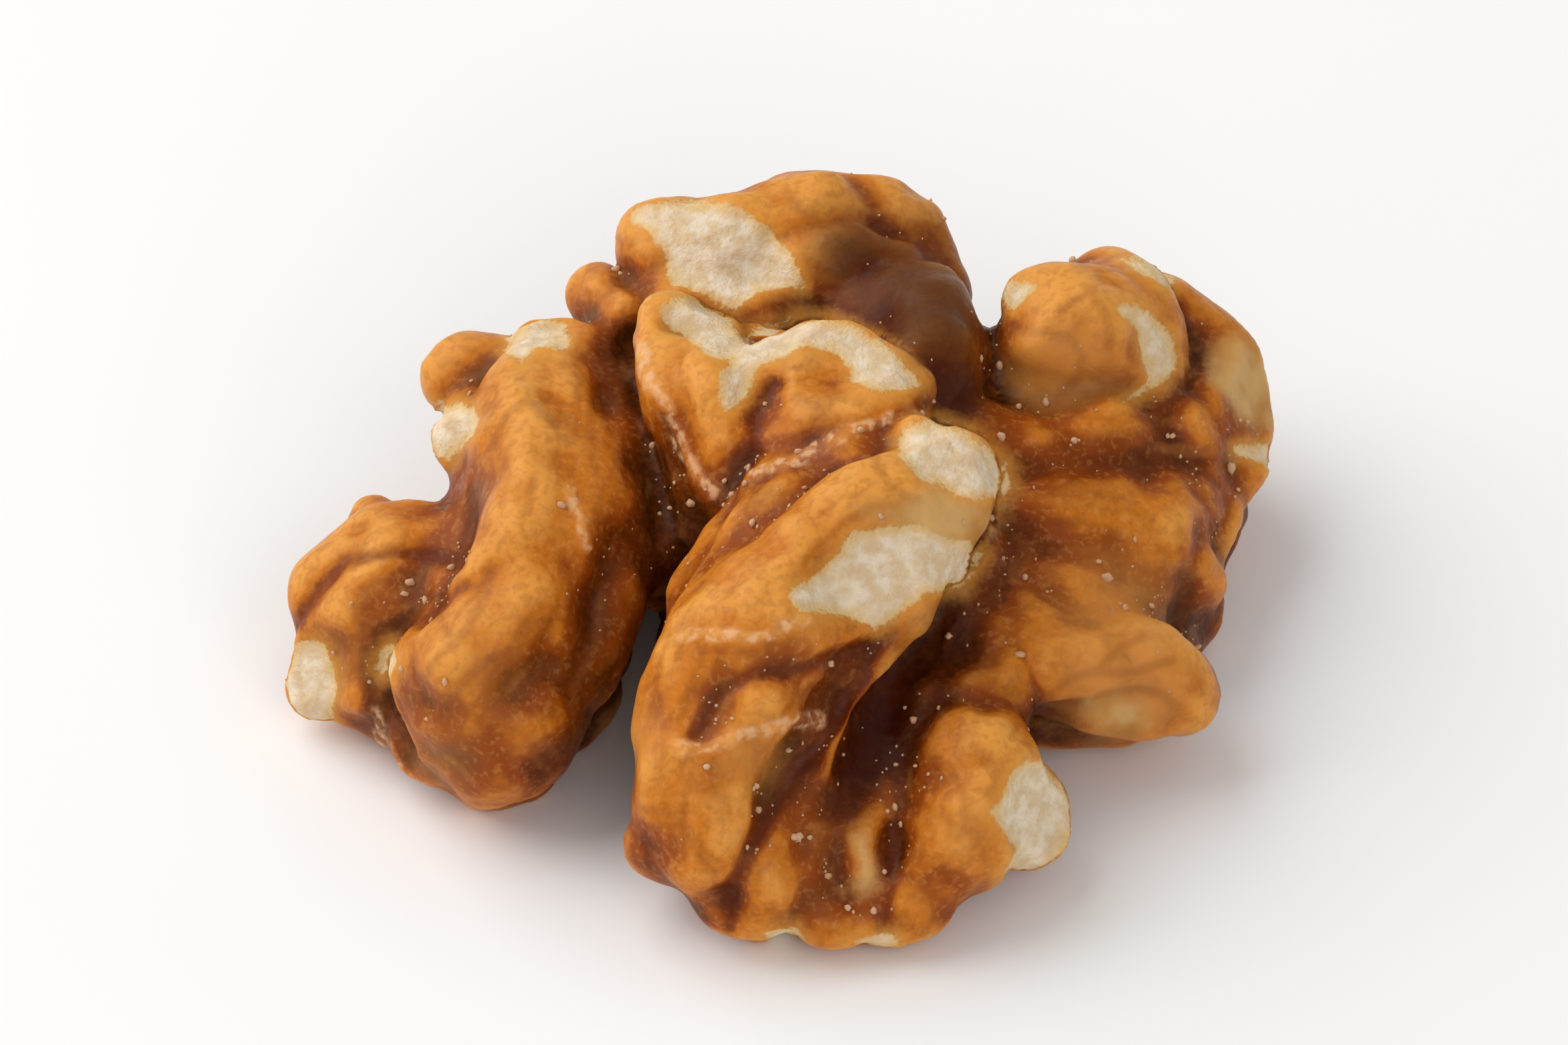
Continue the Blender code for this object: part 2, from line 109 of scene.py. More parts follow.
# What hides the sky is looked up on squares of a map, in these directions and at these distances.
SKY_SQUARE = 0.5
SKY_HALF_WIDTH = 20
SKY_DIRECTIONS = 16
SKY_REACHES = (0.8, 1.4, 2.2, 3.2, 4.6)

# Crumbs: how many, the rings and sides of each ball, and the share of its radius that its middle is over the skin.
CRUMBS = 460
CRUMB_RINGS = np.radians((0, 45, 90, 135, 180))
CRUMB_SIDES = 6
CRUMB_LIFT = 0.15

# The photograph looks along +Y and down by this angle. What it shows is given across its look: by X, and by the height
# UPWARD. Where it sees the skin is worked out on small squares.
LOOK_DOWN = math.radians(42)
UPWARD = np.array((0.0, math.sin(LOOK_DOWN), math.cos(LOOK_DOWN)))
TOWARD = np.array((0.0, -math.cos(LOOK_DOWN), math.sin(LOOK_DOWN)))
SIGHT_CELL = 0.25

# The camera's lens in millimetres and its distance in metres, and the point that the lights are turned to.
LENS = 330
CAMERA_DISTANCE = 0.444
LIT_PLACE = (0, 0, 0.004)

# Each fold is a round ridge that runs through these points: x, y, z and radius, in millimetres.
LEFT_WING = {
    "left_ridge": [(-7.4, 5.2, 7.8, 1.1), (-8.0, 1.6, 8.4, 1.7), (-7.6, -2.2, 8.5, 1.8), (-8.0, -5.0, 7.6, 1.9),
                   (-9.3, -6.9, 6.2, 2.0)],
    "left_toe": [(-9.8, -6.2, 5.0, 2.4), (-8.8, -7.0, 4.3, 2.7), (-8.8, -6.2, 2.0, 2.1)],
    "left_flank": [(-6.0, 4.8, 7.7, 1.5), (-5.9, 0.8, 7.4, 2.1), (-6.1, -3.0, 6.8, 2.1), (-7.0, -5.8, 5.6, 2.2)],
    "left_shoulder": [(-6.7, 4.6, 7.9, 1.7), (-6.9, 1.2, 8.1, 2.0), (-6.8, -2.6, 7.8, 2.1), (-7.8, -5.6, 6.4, 2.2)],
    "left_slope": [(-8.6, 3.0, 6.8, 1.9), (-8.6, -0.4, 6.6, 1.7), (-9.4, -3.6, 5.4, 2.0)],
    "ear": [(-9.8, -2.0, 5.6, 1.7), (-11.8, -1.2, 5.3, 1.7), (-13.3, -1.9, 4.3, 1.8), (-13.7, -3.2, 2.8, 1.6)],
    "ear_web": [(-10.2, -1.8, 5.8, 1.6), (-11.7, -2.3, 5.4, 1.7), (-12.9, -3.0, 4.6, 1.6)],
    "ear_tip": [(-13.6, -3.0, 2.5, 1.3), (-14.4, -3.6, 2.0, 1.0)],
    "ear_bump": [(-12.2, -0.2, 5.2, 1.0), (-12.6, 0.3, 5.5, 0.8)],
    "ear_fold": [(-11.0, -3.2, 5.4, 1.2), (-12.4, -3.6, 4.5, 1.3), (-12.6, -4.6, 3.2, 1.3)],
    "ear_foot": [(-13.2, -3.4, 2.5, 1.4), (-11.6, -4.8, 2.2, 1.5), (-10.0, -6.4, 2.4, 1.7)],
    "left_knob": [(-8.6, 4.8, 6.6, 1.8), (-9.8, 5.4, 6.9, 1.55)],
    "left_stud": [(-8.7, 1.8, 6.8, 1.5), (-9.7, 2.2, 7.0, 1.25)],
    "left_skirt": [(-6.0, 6.0, 3.6, 2.2), (-8.4, 3.8, 3.2, 2.0), (-8.8, 0.5, 2.8, 1.9), (-10.6, -2.2, 2.8, 1.9)],
    "left_inner": [(-4.8, 3.2, 3.4, 1.8), (-5.9, -0.5, 3.4, 1.6), (-6.8, -4.2, 3.0, 1.8)],
}
BACK_WING = {
    "back_ridge": [(-3.4, 8.9, 9.0, 1.7), (-1.4, 8.7, 9.1, 2.0), (0.8, 9.6, 9.0, 2.2), (3.2, 10.0, 8.8, 1.8)],
    "back_face": [(-3.2, 7.3, 7.6, 2.1), (-0.4, 7.2, 7.6, 2.2), (1.4, 8.2, 7.0, 1.9)],
    "back_dome": [(0.5, 8.4, 8.9, 2.0), (1.8, 7.8, 8.8, 1.9), (3.0, 7.6, 8.5, 1.7)],
    "back_right": [(2.9, 10.0, 8.6, 1.7), (3.7, 9.2, 8.3, 1.7), (4.1, 7.9, 7.8, 1.6)],
    "back_shoulder": [(2.8, 6.6, 8.4, 1.8), (4.3, 5.2, 8.6, 2.0), (4.5, 3.2, 8.8, 1.9), (4.0, 1.8, 8.8, 1.7)],
    "back_fold_left": [(-3.6, 9.8, 7.4, 1.4), (-4.6, 10.0, 5.2, 1.3), (-5.4, 9.4, 3.0, 1.5)],
    "back_fold_middle": [(0.4, 11.0, 8.0, 1.4), (-0.8, 11.5, 6.2, 1.4), (-2.0, 11.6, 3.6, 1.6)],
    "back_fold_right": [(2.9, 10.8, 7.6, 1.5), (2.4, 11.4, 5.2, 1.5), (1.0, 11.6, 2.8, 1.6)],
    "back_web": [(-3.0, 9.6, 5.2, 2.0), (0.0, 10.2, 5.4, 2.3), (2.8, 9.6, 5.0, 2.1)],
    "back_drop": [(-5.9, 8.2, 7.6, 1.1), (-4.9, 6.2, 8.5, 0.9)],
    "back_skirt": [(5.3, 6.8, 3.4, 2.1), (4.2, 9.2, 2.7, 2.3), (1.2, 10.7, 2.3, 2.5), (-2.4, 9.8, 2.9, 2.5),
                   (-5.0, 7.4, 3.6, 2.3)],
}
MIDDLE = {
    "rib": [(-3.4, 3.9, 10.3, 1.0), (-3.4, 1.2, 10.0, 1.1), (-2.7, -0.9, 9.0, 1.0), (-2.2, -2.3, 7.6, 0.9)],
    "rib_top": [(-3.2, 3.9, 9.7, 1.3), (-2.3, 3.0, 9.8, 1.4), (-1.4, 1.6, 9.9, 1.3)],
    "rib_face": [(-2.6, 2.6, 10.0, 1.3), (-2.1, 0.8, 10.1, 1.4), (-1.7, -1.2, 9.2, 1.3), (-1.6, -2.6, 8.0, 1.1)],
    "crown": [(-1.9, -0.2, 10.0, 1.1), (-0.8, 1.2, 10.6, 1.2), (0.9, 1.4, 10.9, 1.4), (2.5, 0.8, 10.9, 1.3),
              (3.7, 0.5, 10.4, 1.0)],
    "crown_slope": [(-0.5, 0.4, 9.9, 1.6), (1.4, 0.2, 10.2, 1.7), (3.0, -0.2, 10.3, 1.5)],
    "keel_root": [(0.4, -2.4, 9.1, 1.7), (2.4, -2.6, 9.7, 1.7), (4.0, -2.2, 10.1, 1.5)],
    "crown_face": [(-0.6, -0.6, 9.4, 1.7), (1.2, -1.0, 9.8, 1.9), (3.0, -1.0, 10.0, 1.6)],
}
FRONT_WING = {
    "keel": [(5.1, -3.1, 10.8, 1.5), (3.4, -5.0, 10.1, 2.1), (1.2, -6.7, 9.1, 2.5), (-0.9, -8.4, 7.7, 2.8),
             (-2.0, -10.4, 6.0, 2.6), (-2.1, -11.7, 4.4, 2.5), (-1.0, -12.7, 2.8, 2.2)],
    "keel_corner": [(-3.0, -11.6, 3.6, 1.5), (-3.6, -12.1, 3.2, 1.3)],
    "keel_side": [(4.7, -4.4, 9.9, 1.5), (4.2, -6.2, 9.1, 1.4), (2.6, -7.6, 8.2, 1.3)],
    "keel_tip": [(4.3, -2.7, 10.9, 1.3), (5.2, -3.4, 10.5, 1.5), (4.3, -4.7, 9.9, 1.8)],
    "keel_left": [(0.6, -3.2, 9.4, 1.9), (-0.9, -5.6, 8.2, 2.2), (-1.8, -8.0, 6.6, 2.1), (-2.4, -10.4, 4.6, 2.1)],
    "keel_rib": [(2.4, -8.1, 8.3, 1.1), (1.7, -9.2, 7.1, 1.2), (0.9, -10.6, 5.7, 1.3), (0.5, -11.9, 3.9, 1.5),
                 (0.6, -12.7, 2.5, 1.6)],
    "chin": [(0.6, -12.9, 2.2, 1.5), (1.8, -13.6, 1.7, 1.2), (3.4, -13.3, 1.9, 1.3), (4.4, -12.3, 2.3, 1.4)],
    "chin_lump": [(2.2, -11.6, 3.8, 1.3), (2.3, -12.6, 3.0, 1.1)],
    "heel": [(5.7, -9.0, 4.0, 1.8), (5.6, -10.2, 4.6, 2.0), (5.7, -11.2, 4.0, 2.2), (4.6, -12.1, 2.8, 1.7)],
    "heel_tip": [(6.2, -10.5, 4.2, 2.0), (7.1, -10.5, 3.3, 1.8)],
    "front_skirt": [(-2.4, 0.4, 3.6, 1.8), (-1.8, -4.6, 3.6, 1.9), (-2.0, -9.4, 2.8, 2.0), (-0.8, -12.2, 2.1, 2.2)],
}
RIGHT_WING = {
    "thumb": [(7.0, -5.4, 5.6, 1.7), (8.6, -5.8, 5.1, 1.8), (10.7, -5.4, 4.2, 2.0), (12.0, -4.9, 3.2, 1.6)],
    "apron": [(6.8, -2.6, 5.5, 2.0), (6.3, -5.2, 5.1, 2.0), (5.6, -7.4, 4.7, 2.0)],
    "cheek": [(7.2, -1.8, 5.4, 2.1), (9.3, -1.6, 5.0, 2.3), (11.3, -0.9, 4.4, 2.1), (12.6, -0.5, 3.5, 1.2)],
    "thumb_web": [(7.0, -3.6, 5.1, 2.0), (9.0, -3.5, 4.7, 2.1), (10.2, -3.0, 4.0, 1.8)],
    "saddle": [(5.4, -0.4, 7.0, 1.8), (7.6, 0.2, 6.3, 1.8), (10.0, 0.8, 5.5, 1.9), (11.8, 1.6, 4.6, 1.8)],
    "saddle_web": [(6.6, -1.2, 6.1, 2.0), (8.8, -0.7, 5.8, 2.2), (11.0, 0.2, 5.0, 2.1)],
    "dome_slope": [(7.4, 1.6, 6.7, 1.9), (9.4, 2.4, 6.6, 2.1), (11.4, 3.2, 5.7, 2.0)],
    "right_dome": [(8.2, 4.2, 7.8, 1.9), (8.9, 4.9, 8.9, 2.4), (10.2, 5.4, 8.2, 2.5)],
    "dome_back": [(9.0, 6.4, 7.4, 2.0), (10.4, 7.6, 7.4, 2.0)],
    "right_rim": [(9.8, 8.3, 7.4, 1.4), (11.4, 8.4, 7.2, 1.3), (12.9, 7.5, 6.4, 1.4), (13.7, 6.1, 5.4, 1.7),
                  (13.9, 4.7, 4.7, 1.5), (13.2, 3.4, 4.3, 1.3), (12.7, 1.8, 3.9, 1.3), (12.5, -0.2, 3.0, 1.2)],
    "rim_bump": [(14.2, 4.6, 4.8, 0.9), (14.6, 4.2, 4.6, 0.7)],
    "rim_under": [(11.4, 9.4, 4.4, 1.3), (12.9, 7.8, 3.8, 1.3), (13.4, 5.8, 3.0, 1.2), (12.9, 3.2, 2.4, 1.3)],
    "right_outer": [(12.3, 0.8, 2.4, 1.3), (11.3, -1.2, 2.4, 1.2), (10.6, -3.4, 2.4, 1.3)],
    "right_skirt": [(7.6, -4.8, 3.0, 1.8), (10.0, -4.4, 2.5, 1.8), (11.2, -1.4, 1.9, 1.8), (12.0, 2.6, 2.2, 1.9),
                    (12.4, 6.0, 2.9, 2.0), (10.3, 8.2, 3.4, 2.0), (8.2, 6.4, 3.6, 1.9)],
}
# The flesh under the folds, which gives the valleys between them a floor.
FLESH = {
    "left_flesh": [(-6.8, 4.0, 5.6, 2.6), (-7.2, 0.0, 5.4, 2.7), (-8.0, -4.6, 4.6, 2.7)],
    "cleft_floor": [(6.3, 3.4, 6.0, 1.8), (6.6, 5.6, 4.6, 1.9), (6.8, 7.4, 3.2, 1.9)],
    "left_bridge": [(-4.0, 3.0, 7.0, 2.2), (-4.0, 0.6, 6.6, 2.0), (-3.9, -1.4, 5.8, 1.9)],
    "back_flesh": [(-3.2, 7.2, 5.8, 3.0), (0.4, 8.2, 5.8, 3.3), (3.2, 7.4, 5.4, 3.0)],
    "bridge": [(-2.6, 3.6, 6.4, 3.2), (0.6, 1.6, 7.2, 3.2), (4.2, 0.8, 6.6, 3.0), (7.6, 1.8, 5.8, 2.8)],
    "front_flesh": [(1.6, -2.0, 7.0, 2.7), (0.8, -5.8, 5.8, 3.0), (0.6, -9.4, 4.2, 2.6)],
    "groove_floor": [(5.0, -3.4, 6.3, 2.2), (4.2, -6.4, 5.0, 2.1), (3.1, -9.8, 3.5, 2.1)],
    "right_flesh": [(9.6, 5.4, 5.4, 3.0), (10.4, 2.0, 4.6, 2.8), (9.2, -2.4, 4.0, 2.4)],
    "rim_flesh": [(11.6, 7.2, 5.8, 1.9), (12.4, 5.0, 5.0, 2.0), (12.0, 2.6, 4.4, 2.0)],
}
# Low folds round the hollow of the inner face.
INNER_FACE = {
    "inner_left": [(-6.6, 2.6, 2.4, 1.5), (-6.0, -1.4, 2.2, 1.5), (-7.4, -4.6, 2.0, 1.6)],
    "inner_back": [(-3.6, 6.4, 2.8, 1.6), (-0.6, 6.8, 3.0, 1.6), (2.4, 6.2, 3.0, 1.6)],
    "inner_middle": [(-2.6, 2.6, 4.6, 1.7), (0.4, 1.0, 4.4, 1.8), (3.8, 0.6, 4.0, 1.8), (6.8, 1.4, 3.4, 1.7)],
    "inner_right": [(9.4, 4.6, 2.8, 1.6), (9.2, 1.0, 2.6, 1.6), (8.0, -2.2, 2.6, 1.6)],
    "inner_front": [(1.6, -3.2, 4.0, 1.8), (1.2, -6.4, 3.4, 1.7), (1.8, -9.6, 2.6, 1.6)],
}

# Creases in the skin: the route that each follows, its width and its depth.
CREASES = {
    "keel_crease": ([(3.0, -9.1, 8.6), (1.5, -10.6, 7.3), (0.2, -12.1, 6.2), (-0.9, -14.0, 4.9), (-1.6, -14.4, 3.4)],
                    0.6, 0.5),
    "keel_flute": ([(-2.3, -11.8, 8.0), (-1.6, -10.9, 9.1), (0.6, -10.4, 9.2), (2.3, -9.2, 8.7)], 0.6, 0.2),
    "keel_flute_low": ([(-2.6, -13.1, 6.8), (-0.8, -12.8, 7.2), (0.6, -11.4, 6.8)], 0.7, 0.2),
    "front_crease": ([(3.2, -12.8, 4.2), (3.0, -13.7, 3.3), (3.3, -14.5, 2.1)], 0.7, 0.2),
    "face_vein": ([(-0.9, -3.7, 10.6), (0.4, -3.2, 10.8), (1.9, -2.5, 10.8), (3.2, -2.0, 11.2)], 0.6, 0.15),
    "groove": ([(5.4, -6.4, 9.0), (4.6, -6.5, 7.4), (3.6, -7.7, 6.4), (2.6, -10.2, 6.3), (1.7, -12.0, 5.4)], 1.0, 0.6),
    "flank_crease": ([(-5.8, 2.4, 8.8), (-5.8, -0.3, 8.8), (-5.7, -3.0, 8.7), (-5.7, -4.5, 7.9), (-5.9, -6.4, 7.0),
                      (-6.3, -8.2, 6.1)], 0.6, 0.12),
    "ear_crease": ([(-14.9, -2.7, 4.0), (-14.0, -2.7, 5.8), (-13.0, -2.3, 6.3), (-11.4, -2.5, 6.6)], 0.6, 0.12),
    "ear_root": ([(-10.4, -5.9, 7.2), (-11.2, -5.6, 6.6), (-12.3, -4.8, 5.3), (-12.9, -5.2, 4.0)], 0.6, 0.25),
    "back_wrinkle_right": ([(2.2, 10.6, 10.6), (2.9, 9.4, 10.5), (3.1, 8.2, 10.2), (2.7, 7.0, 10.0)], 0.7, 0.2),
    "crown_crease": ([(-0.3, 0.0, 11.4), (-0.8, -1.3, 10.8), (-1.3, -2.4, 10.0), (-1.8, -4.2, 9.8)], 0.6, 0.15),
    "rib_root": ([(-3.7, -0.6, 10.0), (-3.3, -2.0, 9.0), (-2.8, -3.2, 8.0)], 0.7, 0.4),
    "thumb_crease": ([(8.2, -7.4, 4.7), (9.8, -7.4, 4.8), (11.3, -7.1, 5.0)], 0.5, 0.25),
    "cheek_crease": ([(13.2, -0.8, 5.9), (12.7, -2.1, 5.4), (12.3, -2.6, 4.0)], 0.6, 0.45),
    "cheek_line": ([(9.6, 0.6, 8.4), (10.4, -1.6, 7.8), (10.4, -3.4, 6.2)], 0.6, 0.15),
    "saddle_line": ([(7.0, 2.6, 8.9), (8.8, 2.4, 8.8), (11.0, 2.8, 7.8), (12.8, 2.4, 6.2)], 0.8, 0.25),
    "behind_left": ([(-6.4, 8.4, 6.6), (-6.8, 8.2, 4.6), (-6.8, 8.0, 2.6)], 0.7, 0.5),
    "behind_left_ridge": ([(-9.4, 4.2, 5.4), (-10.4, 3.0, 4.4), (-10.8, 1.0, 3.4)], 0.7, 0.5),
    "dome_outside": ([(8.0, 8.0, 6.6), (9.6, 9.6, 5.0), (11.0, 10.6, 3.4)], 0.7, 0.5),
}

# Spots where a piece has broken off: a point on the flat that it left, the flat's direction, and the reach from it.
CHIPS = {
    "back_chip": ((-2.0, 6.5, 10.2), (-0.1, -0.75, 0.65), 2.9),
    "crown_chip": ((0.9, 1.5, 12.1), (0.05, -0.3, 0.95), 2.9),
    "rib_chip": ((-2.8, 3.6, 10.9), (0.1, -0.5, 0.86), 1.6),
    "keel_chip": ((2.8, -7.4, 10.5), (0.25, -0.72, 0.65), 3.0),
    "tip_chip": ((5.2, -3.9, 11.9), (0.2, -0.35, 0.91), 1.9),
    "tip_side_chip": ((6.3, -5.2, 10.9), (0.75, -0.5, 0.4), 1.6),
    "dome_chip": ((11.6, 4.1, 9.0), (0.75, -0.5, 0.43), 2.2),
    "rim_chip": ((14.5, 5.4, 6.0), (0.8, -0.3, 0.5), 2.6),
    "heel_chip": ((7.6, -11.5, 4.0), (0.75, -0.55, 0.35), 2.0),
    "ear_chip": ((-14.7, -4.1, 2.9), (-0.55, -0.7, 0.45), 1.6),
    "left_tip_chip": ((-7.4, 5.0, 9.1), (0.0, 0.3, 0.95), 1.4),
    "stud_chip": ((-10.4, 1.7, 7.6), (-0.6, -0.5, 0.6), 1.3),
    "toe_chip": ((-11.8, -6.6, 2.6), (-0.75, -0.6, 0.3), 1.5),
}

# Outlines of the spots of bare flesh that the photograph shows, across its look.
BARE = {
    "back_chip": [(-4.8, 13.8), (-4.4, 14.2), (-3.6, 14.3), (-2.7, 14.3), (-1.9, 14.1),
        (-0.9, 13.7), (-0.3, 13.3), (0.2, 12.7), (0.5, 12.0), (0.6, 11.5), (0.0, 11.4), (-0.8, 11.3), (-1.3, 11.0),
        (-1.6, 10.8), (-2.2, 11.1), (-3.0, 11.3), (-3.5, 11.4), (-3.7, 12.0), (-3.8, 12.7), (-4.3, 13.2),
        (-4.7, 13.5)],
    "rib_chip": [(-3.8, 10.8), (-3.3, 11.1), (-2.5, 11.1), (-2.0, 10.9), (-1.7, 10.6),
        (-1.4, 10.1), (-1.2, 9.8), (-1.6, 9.2), (-1.9, 9.1), (-2.3, 9.2), (-2.6, 9.5), (-3.0, 9.9), (-3.3, 10.1),
        (-3.7, 10.4)],
    "crown_chip": [(-2.0, 8.2), (-1.9, 8.7), (-1.7, 9.3), (-1.4, 9.8), (-0.7, 10.2),
        (-0.1, 10.4), (0.5, 10.6), (1.2, 10.5), (1.7, 10.4), (2.3, 10.1), (3.1, 9.7), (3.7, 9.2), (4.0, 8.8),
        (4.1, 8.4), (3.7, 8.2), (3.2, 8.2), (2.5, 8.3), (2.0, 8.5), (2.1, 8.8), (1.9, 9.2), (1.5, 9.5), (0.8, 9.5),
        (0.2, 9.5), (-0.3, 9.2), (-0.7, 8.9), (-0.9, 8.6), (-1.1, 8.2), (-1.4, 7.8), (-1.7, 7.6), (-1.9, 7.8)],
    "tip_chip": [(3.5, 6.7), (3.7, 7.1), (4.3, 7.3), (5.1, 7.2), (5.7, 7.0), (6.2, 6.5),
        (6.8, 6.0), (7.1, 5.3), (6.8, 4.9), (5.9, 4.8), (5.3, 5.0), (4.9, 5.3), (4.3, 5.5), (3.9, 5.9), (3.6, 6.2)],
    "keel_chip": [(0.2, 2.0), (0.4, 2.3), (1.1, 2.7), (1.6, 3.2), (2.1, 3.8), (2.8, 4.1),
        (3.6, 4.0), (4.1, 4.1), (4.6, 3.9), (5.6, 3.6), (6.1, 3.2), (5.9, 2.6), (5.5, 2.1), (4.4, 2.0), (3.8, 1.6),
        (3.3, 1.2), (2.8, 0.9), (2.3, 1.2), (1.7, 1.3), (1.1, 1.4), (0.5, 1.5), (0.3, 1.7)],
    "dome_chip": [(10.7, 11.0), (11.2, 10.9), (11.7, 10.4), (12.1, 9.9), (12.3, 9.2),
        (12.0, 8.7), (11.6, 8.4), (11.0, 8.1), (10.5, 7.7), (10.4, 7.9), (10.9, 8.2), (11.2, 8.5), (11.3, 9.0),
        (11.1, 9.6), (11.0, 10.1), (10.7, 10.5), (10.3, 10.8)],
    "dome_edge": [(6.7, 11.4), (6.9, 11.6), (7.4, 11.7), (7.8, 11.6), (7.9, 11.4),
        (7.5, 11.1), (7.1, 10.8), (6.9, 10.9), (6.7, 11.1)],
    "rim_spot": [(10.5, 12.4), (11.0, 12.5), (11.6, 12.4), (12.1, 12.2), (12.3, 11.8),
        (12.2, 11.4), (11.8, 11.5), (11.4, 11.8), (10.9, 12.0)],
    "bump_spot": [(14.1, 6.5), (14.7, 6.6), (15.4, 6.7), (15.9, 6.3), (15.6, 5.8),
        (14.6, 6.0), (14.2, 6.2)],
    "heel_chip": [(6.3, -4.6), (6.6, -4.1), (7.0, -3.4), (7.4, -3.0), (7.9, -3.1),
        (8.3, -3.5), (9.0, -4.2), (9.1, -4.9), (8.8, -5.7), (8.2, -6.5), (7.4, -7.1), (6.6, -7.3), (6.8, -6.4),
        (7.0, -5.8), (6.8, -5.3), (6.5, -4.9)],
    "ear_chip": [(-15.9, -1.1), (-15.6, -0.3), (-14.9, 0.5), (-14.5, 0.6), (-14.1, 0.4),
        (-13.9, -0.1), (-13.8, -0.8), (-13.9, -1.4), (-13.8, -2.5), (-14.6, -2.7), (-15.6, -2.0)],
    "left_tip_chip": [(-8.6, 9.5), (-8.5, 10.0), (-8.0, 10.5), (-7.4, 10.6), (-6.8, 10.3),
        (-6.5, 9.7), (-6.7, 9.5), (-7.2, 9.6), (-7.6, 9.5), (-7.9, 9.2), (-8.2, 9.1)],
    "stud_chip": [(-11.6, 6.6), (-11.3, 7.3), (-10.7, 7.7), (-10.1, 7.9), (-9.5, 7.8),
        (-9.4, 7.4), (-9.6, 6.9), (-10.0, 6.5), (-10.4, 6.0), (-10.8, 6.2)],
    "toe_spot": [(-12.4, 0.1), (-12.1, 0.4), (-11.8, -0.0), (-11.9, -0.5), (-12.2, -0.6),
        (-12.5, -0.4)],
    "chin_spot": [(-0.7, -8.3), (-0.2, -8.1), (0.4, -8.2), (0.6, -8.6), (0.3, -8.8),
        (-0.3, -8.7)],
    "chin_spot_right": [(1.9, -8.6), (2.5, -8.4), (3.3, -8.4), (3.6, -8.6), (3.2, -8.9),
        (2.4, -9.0)],
}

# Outlines of the yellow, glassy places where only the skin's outer layer is gone.
WAXY = {
    "tip_wax": [(4.6, 5.5), (5.6, 5.0), (6.4, 5.0), (7.1, 4.9), (6.9, 4.0), (6.0, 3.4),
        (5.4, 2.7), (4.7, 3.0), (4.1, 3.6), (3.3, 4.0), (2.3, 4.1), (1.9, 4.7), (2.5, 5.0), (3.6, 5.0)],
    "rim_wax": [(13.0, 9.2), (13.2, 9.8), (13.7, 10.1), (14.2, 10.2), (14.8, 10.0),
        (15.5, 9.6), (15.9, 8.8), (16.0, 8.1), (16.0, 7.2), (15.8, 6.7), (14.8, 6.9), (14.1, 7.2), (13.6, 7.8),
        (13.2, 8.4)],
    # The thumb's pale place is partly waxy skin and partly a painted highlight.
    "thumb_wax_and_painted_highlight": [(9.2, -1.2), (10.2, -0.9), (11.2, -1.3), (11.4, -2.1), (10.6, -2.6), (9.6, -2.3), (9.0, -1.8)],
    "foot_wax": [(1.9, -5.3), (2.6, -5.2), (3.0, -6.0), (3.0, -7.0), (2.4, -7.4), (1.8, -7.0), (2.1, -6.2)],
    "crown_wax": [(1.5, 9.5), (2.1, 9.2), (2.7, 9.1), (3.4, 8.8), (3.2, 8.2), (2.5, 8.3),
        (2.0, 8.5), (2.1, 8.8), (1.9, 9.2)],
}

# Dark red lines in the skin, across the photograph's look.
LINES = {
    "keel_front": [(-1.7, -8.1), (-1.6, -7.1), (-1.1, -5.9), (-0.4, -4.8), (0.3, -3.5), (1.1, -2.5), (1.9, -1.4),
        (2.6, -0.6)],
    "keel_upper": [(-2.7, -2.2), (-2.1, -1.2), (-1.5, -0.7), (-0.4, -0.4), (0.8, -0.2), (1.9, 0.2), (2.6, 0.5)],
    "chin": [(3.1, -8.3), (3.2, -7.3), (3.4, -6.3), (3.3, -5.2)],
    "ear": [(-15.1, 0.9), (-14.3, 2.2), (-13.5, 3.0), (-12.2, 3.3), (-11.2, 3.2), (-9.9, 3.0)],
    "ear_root": [(-9.7, 2.2), (-10.8, 1.4), (-11.7, 1.0), (-12.3, 0.4), (-12.6, -0.4), (-12.7, -1.4)],
    "crown": [(-0.3, 8.4), (-0.7, 7.7), (-0.9, 6.7), (-1.1, 6.0)],
}

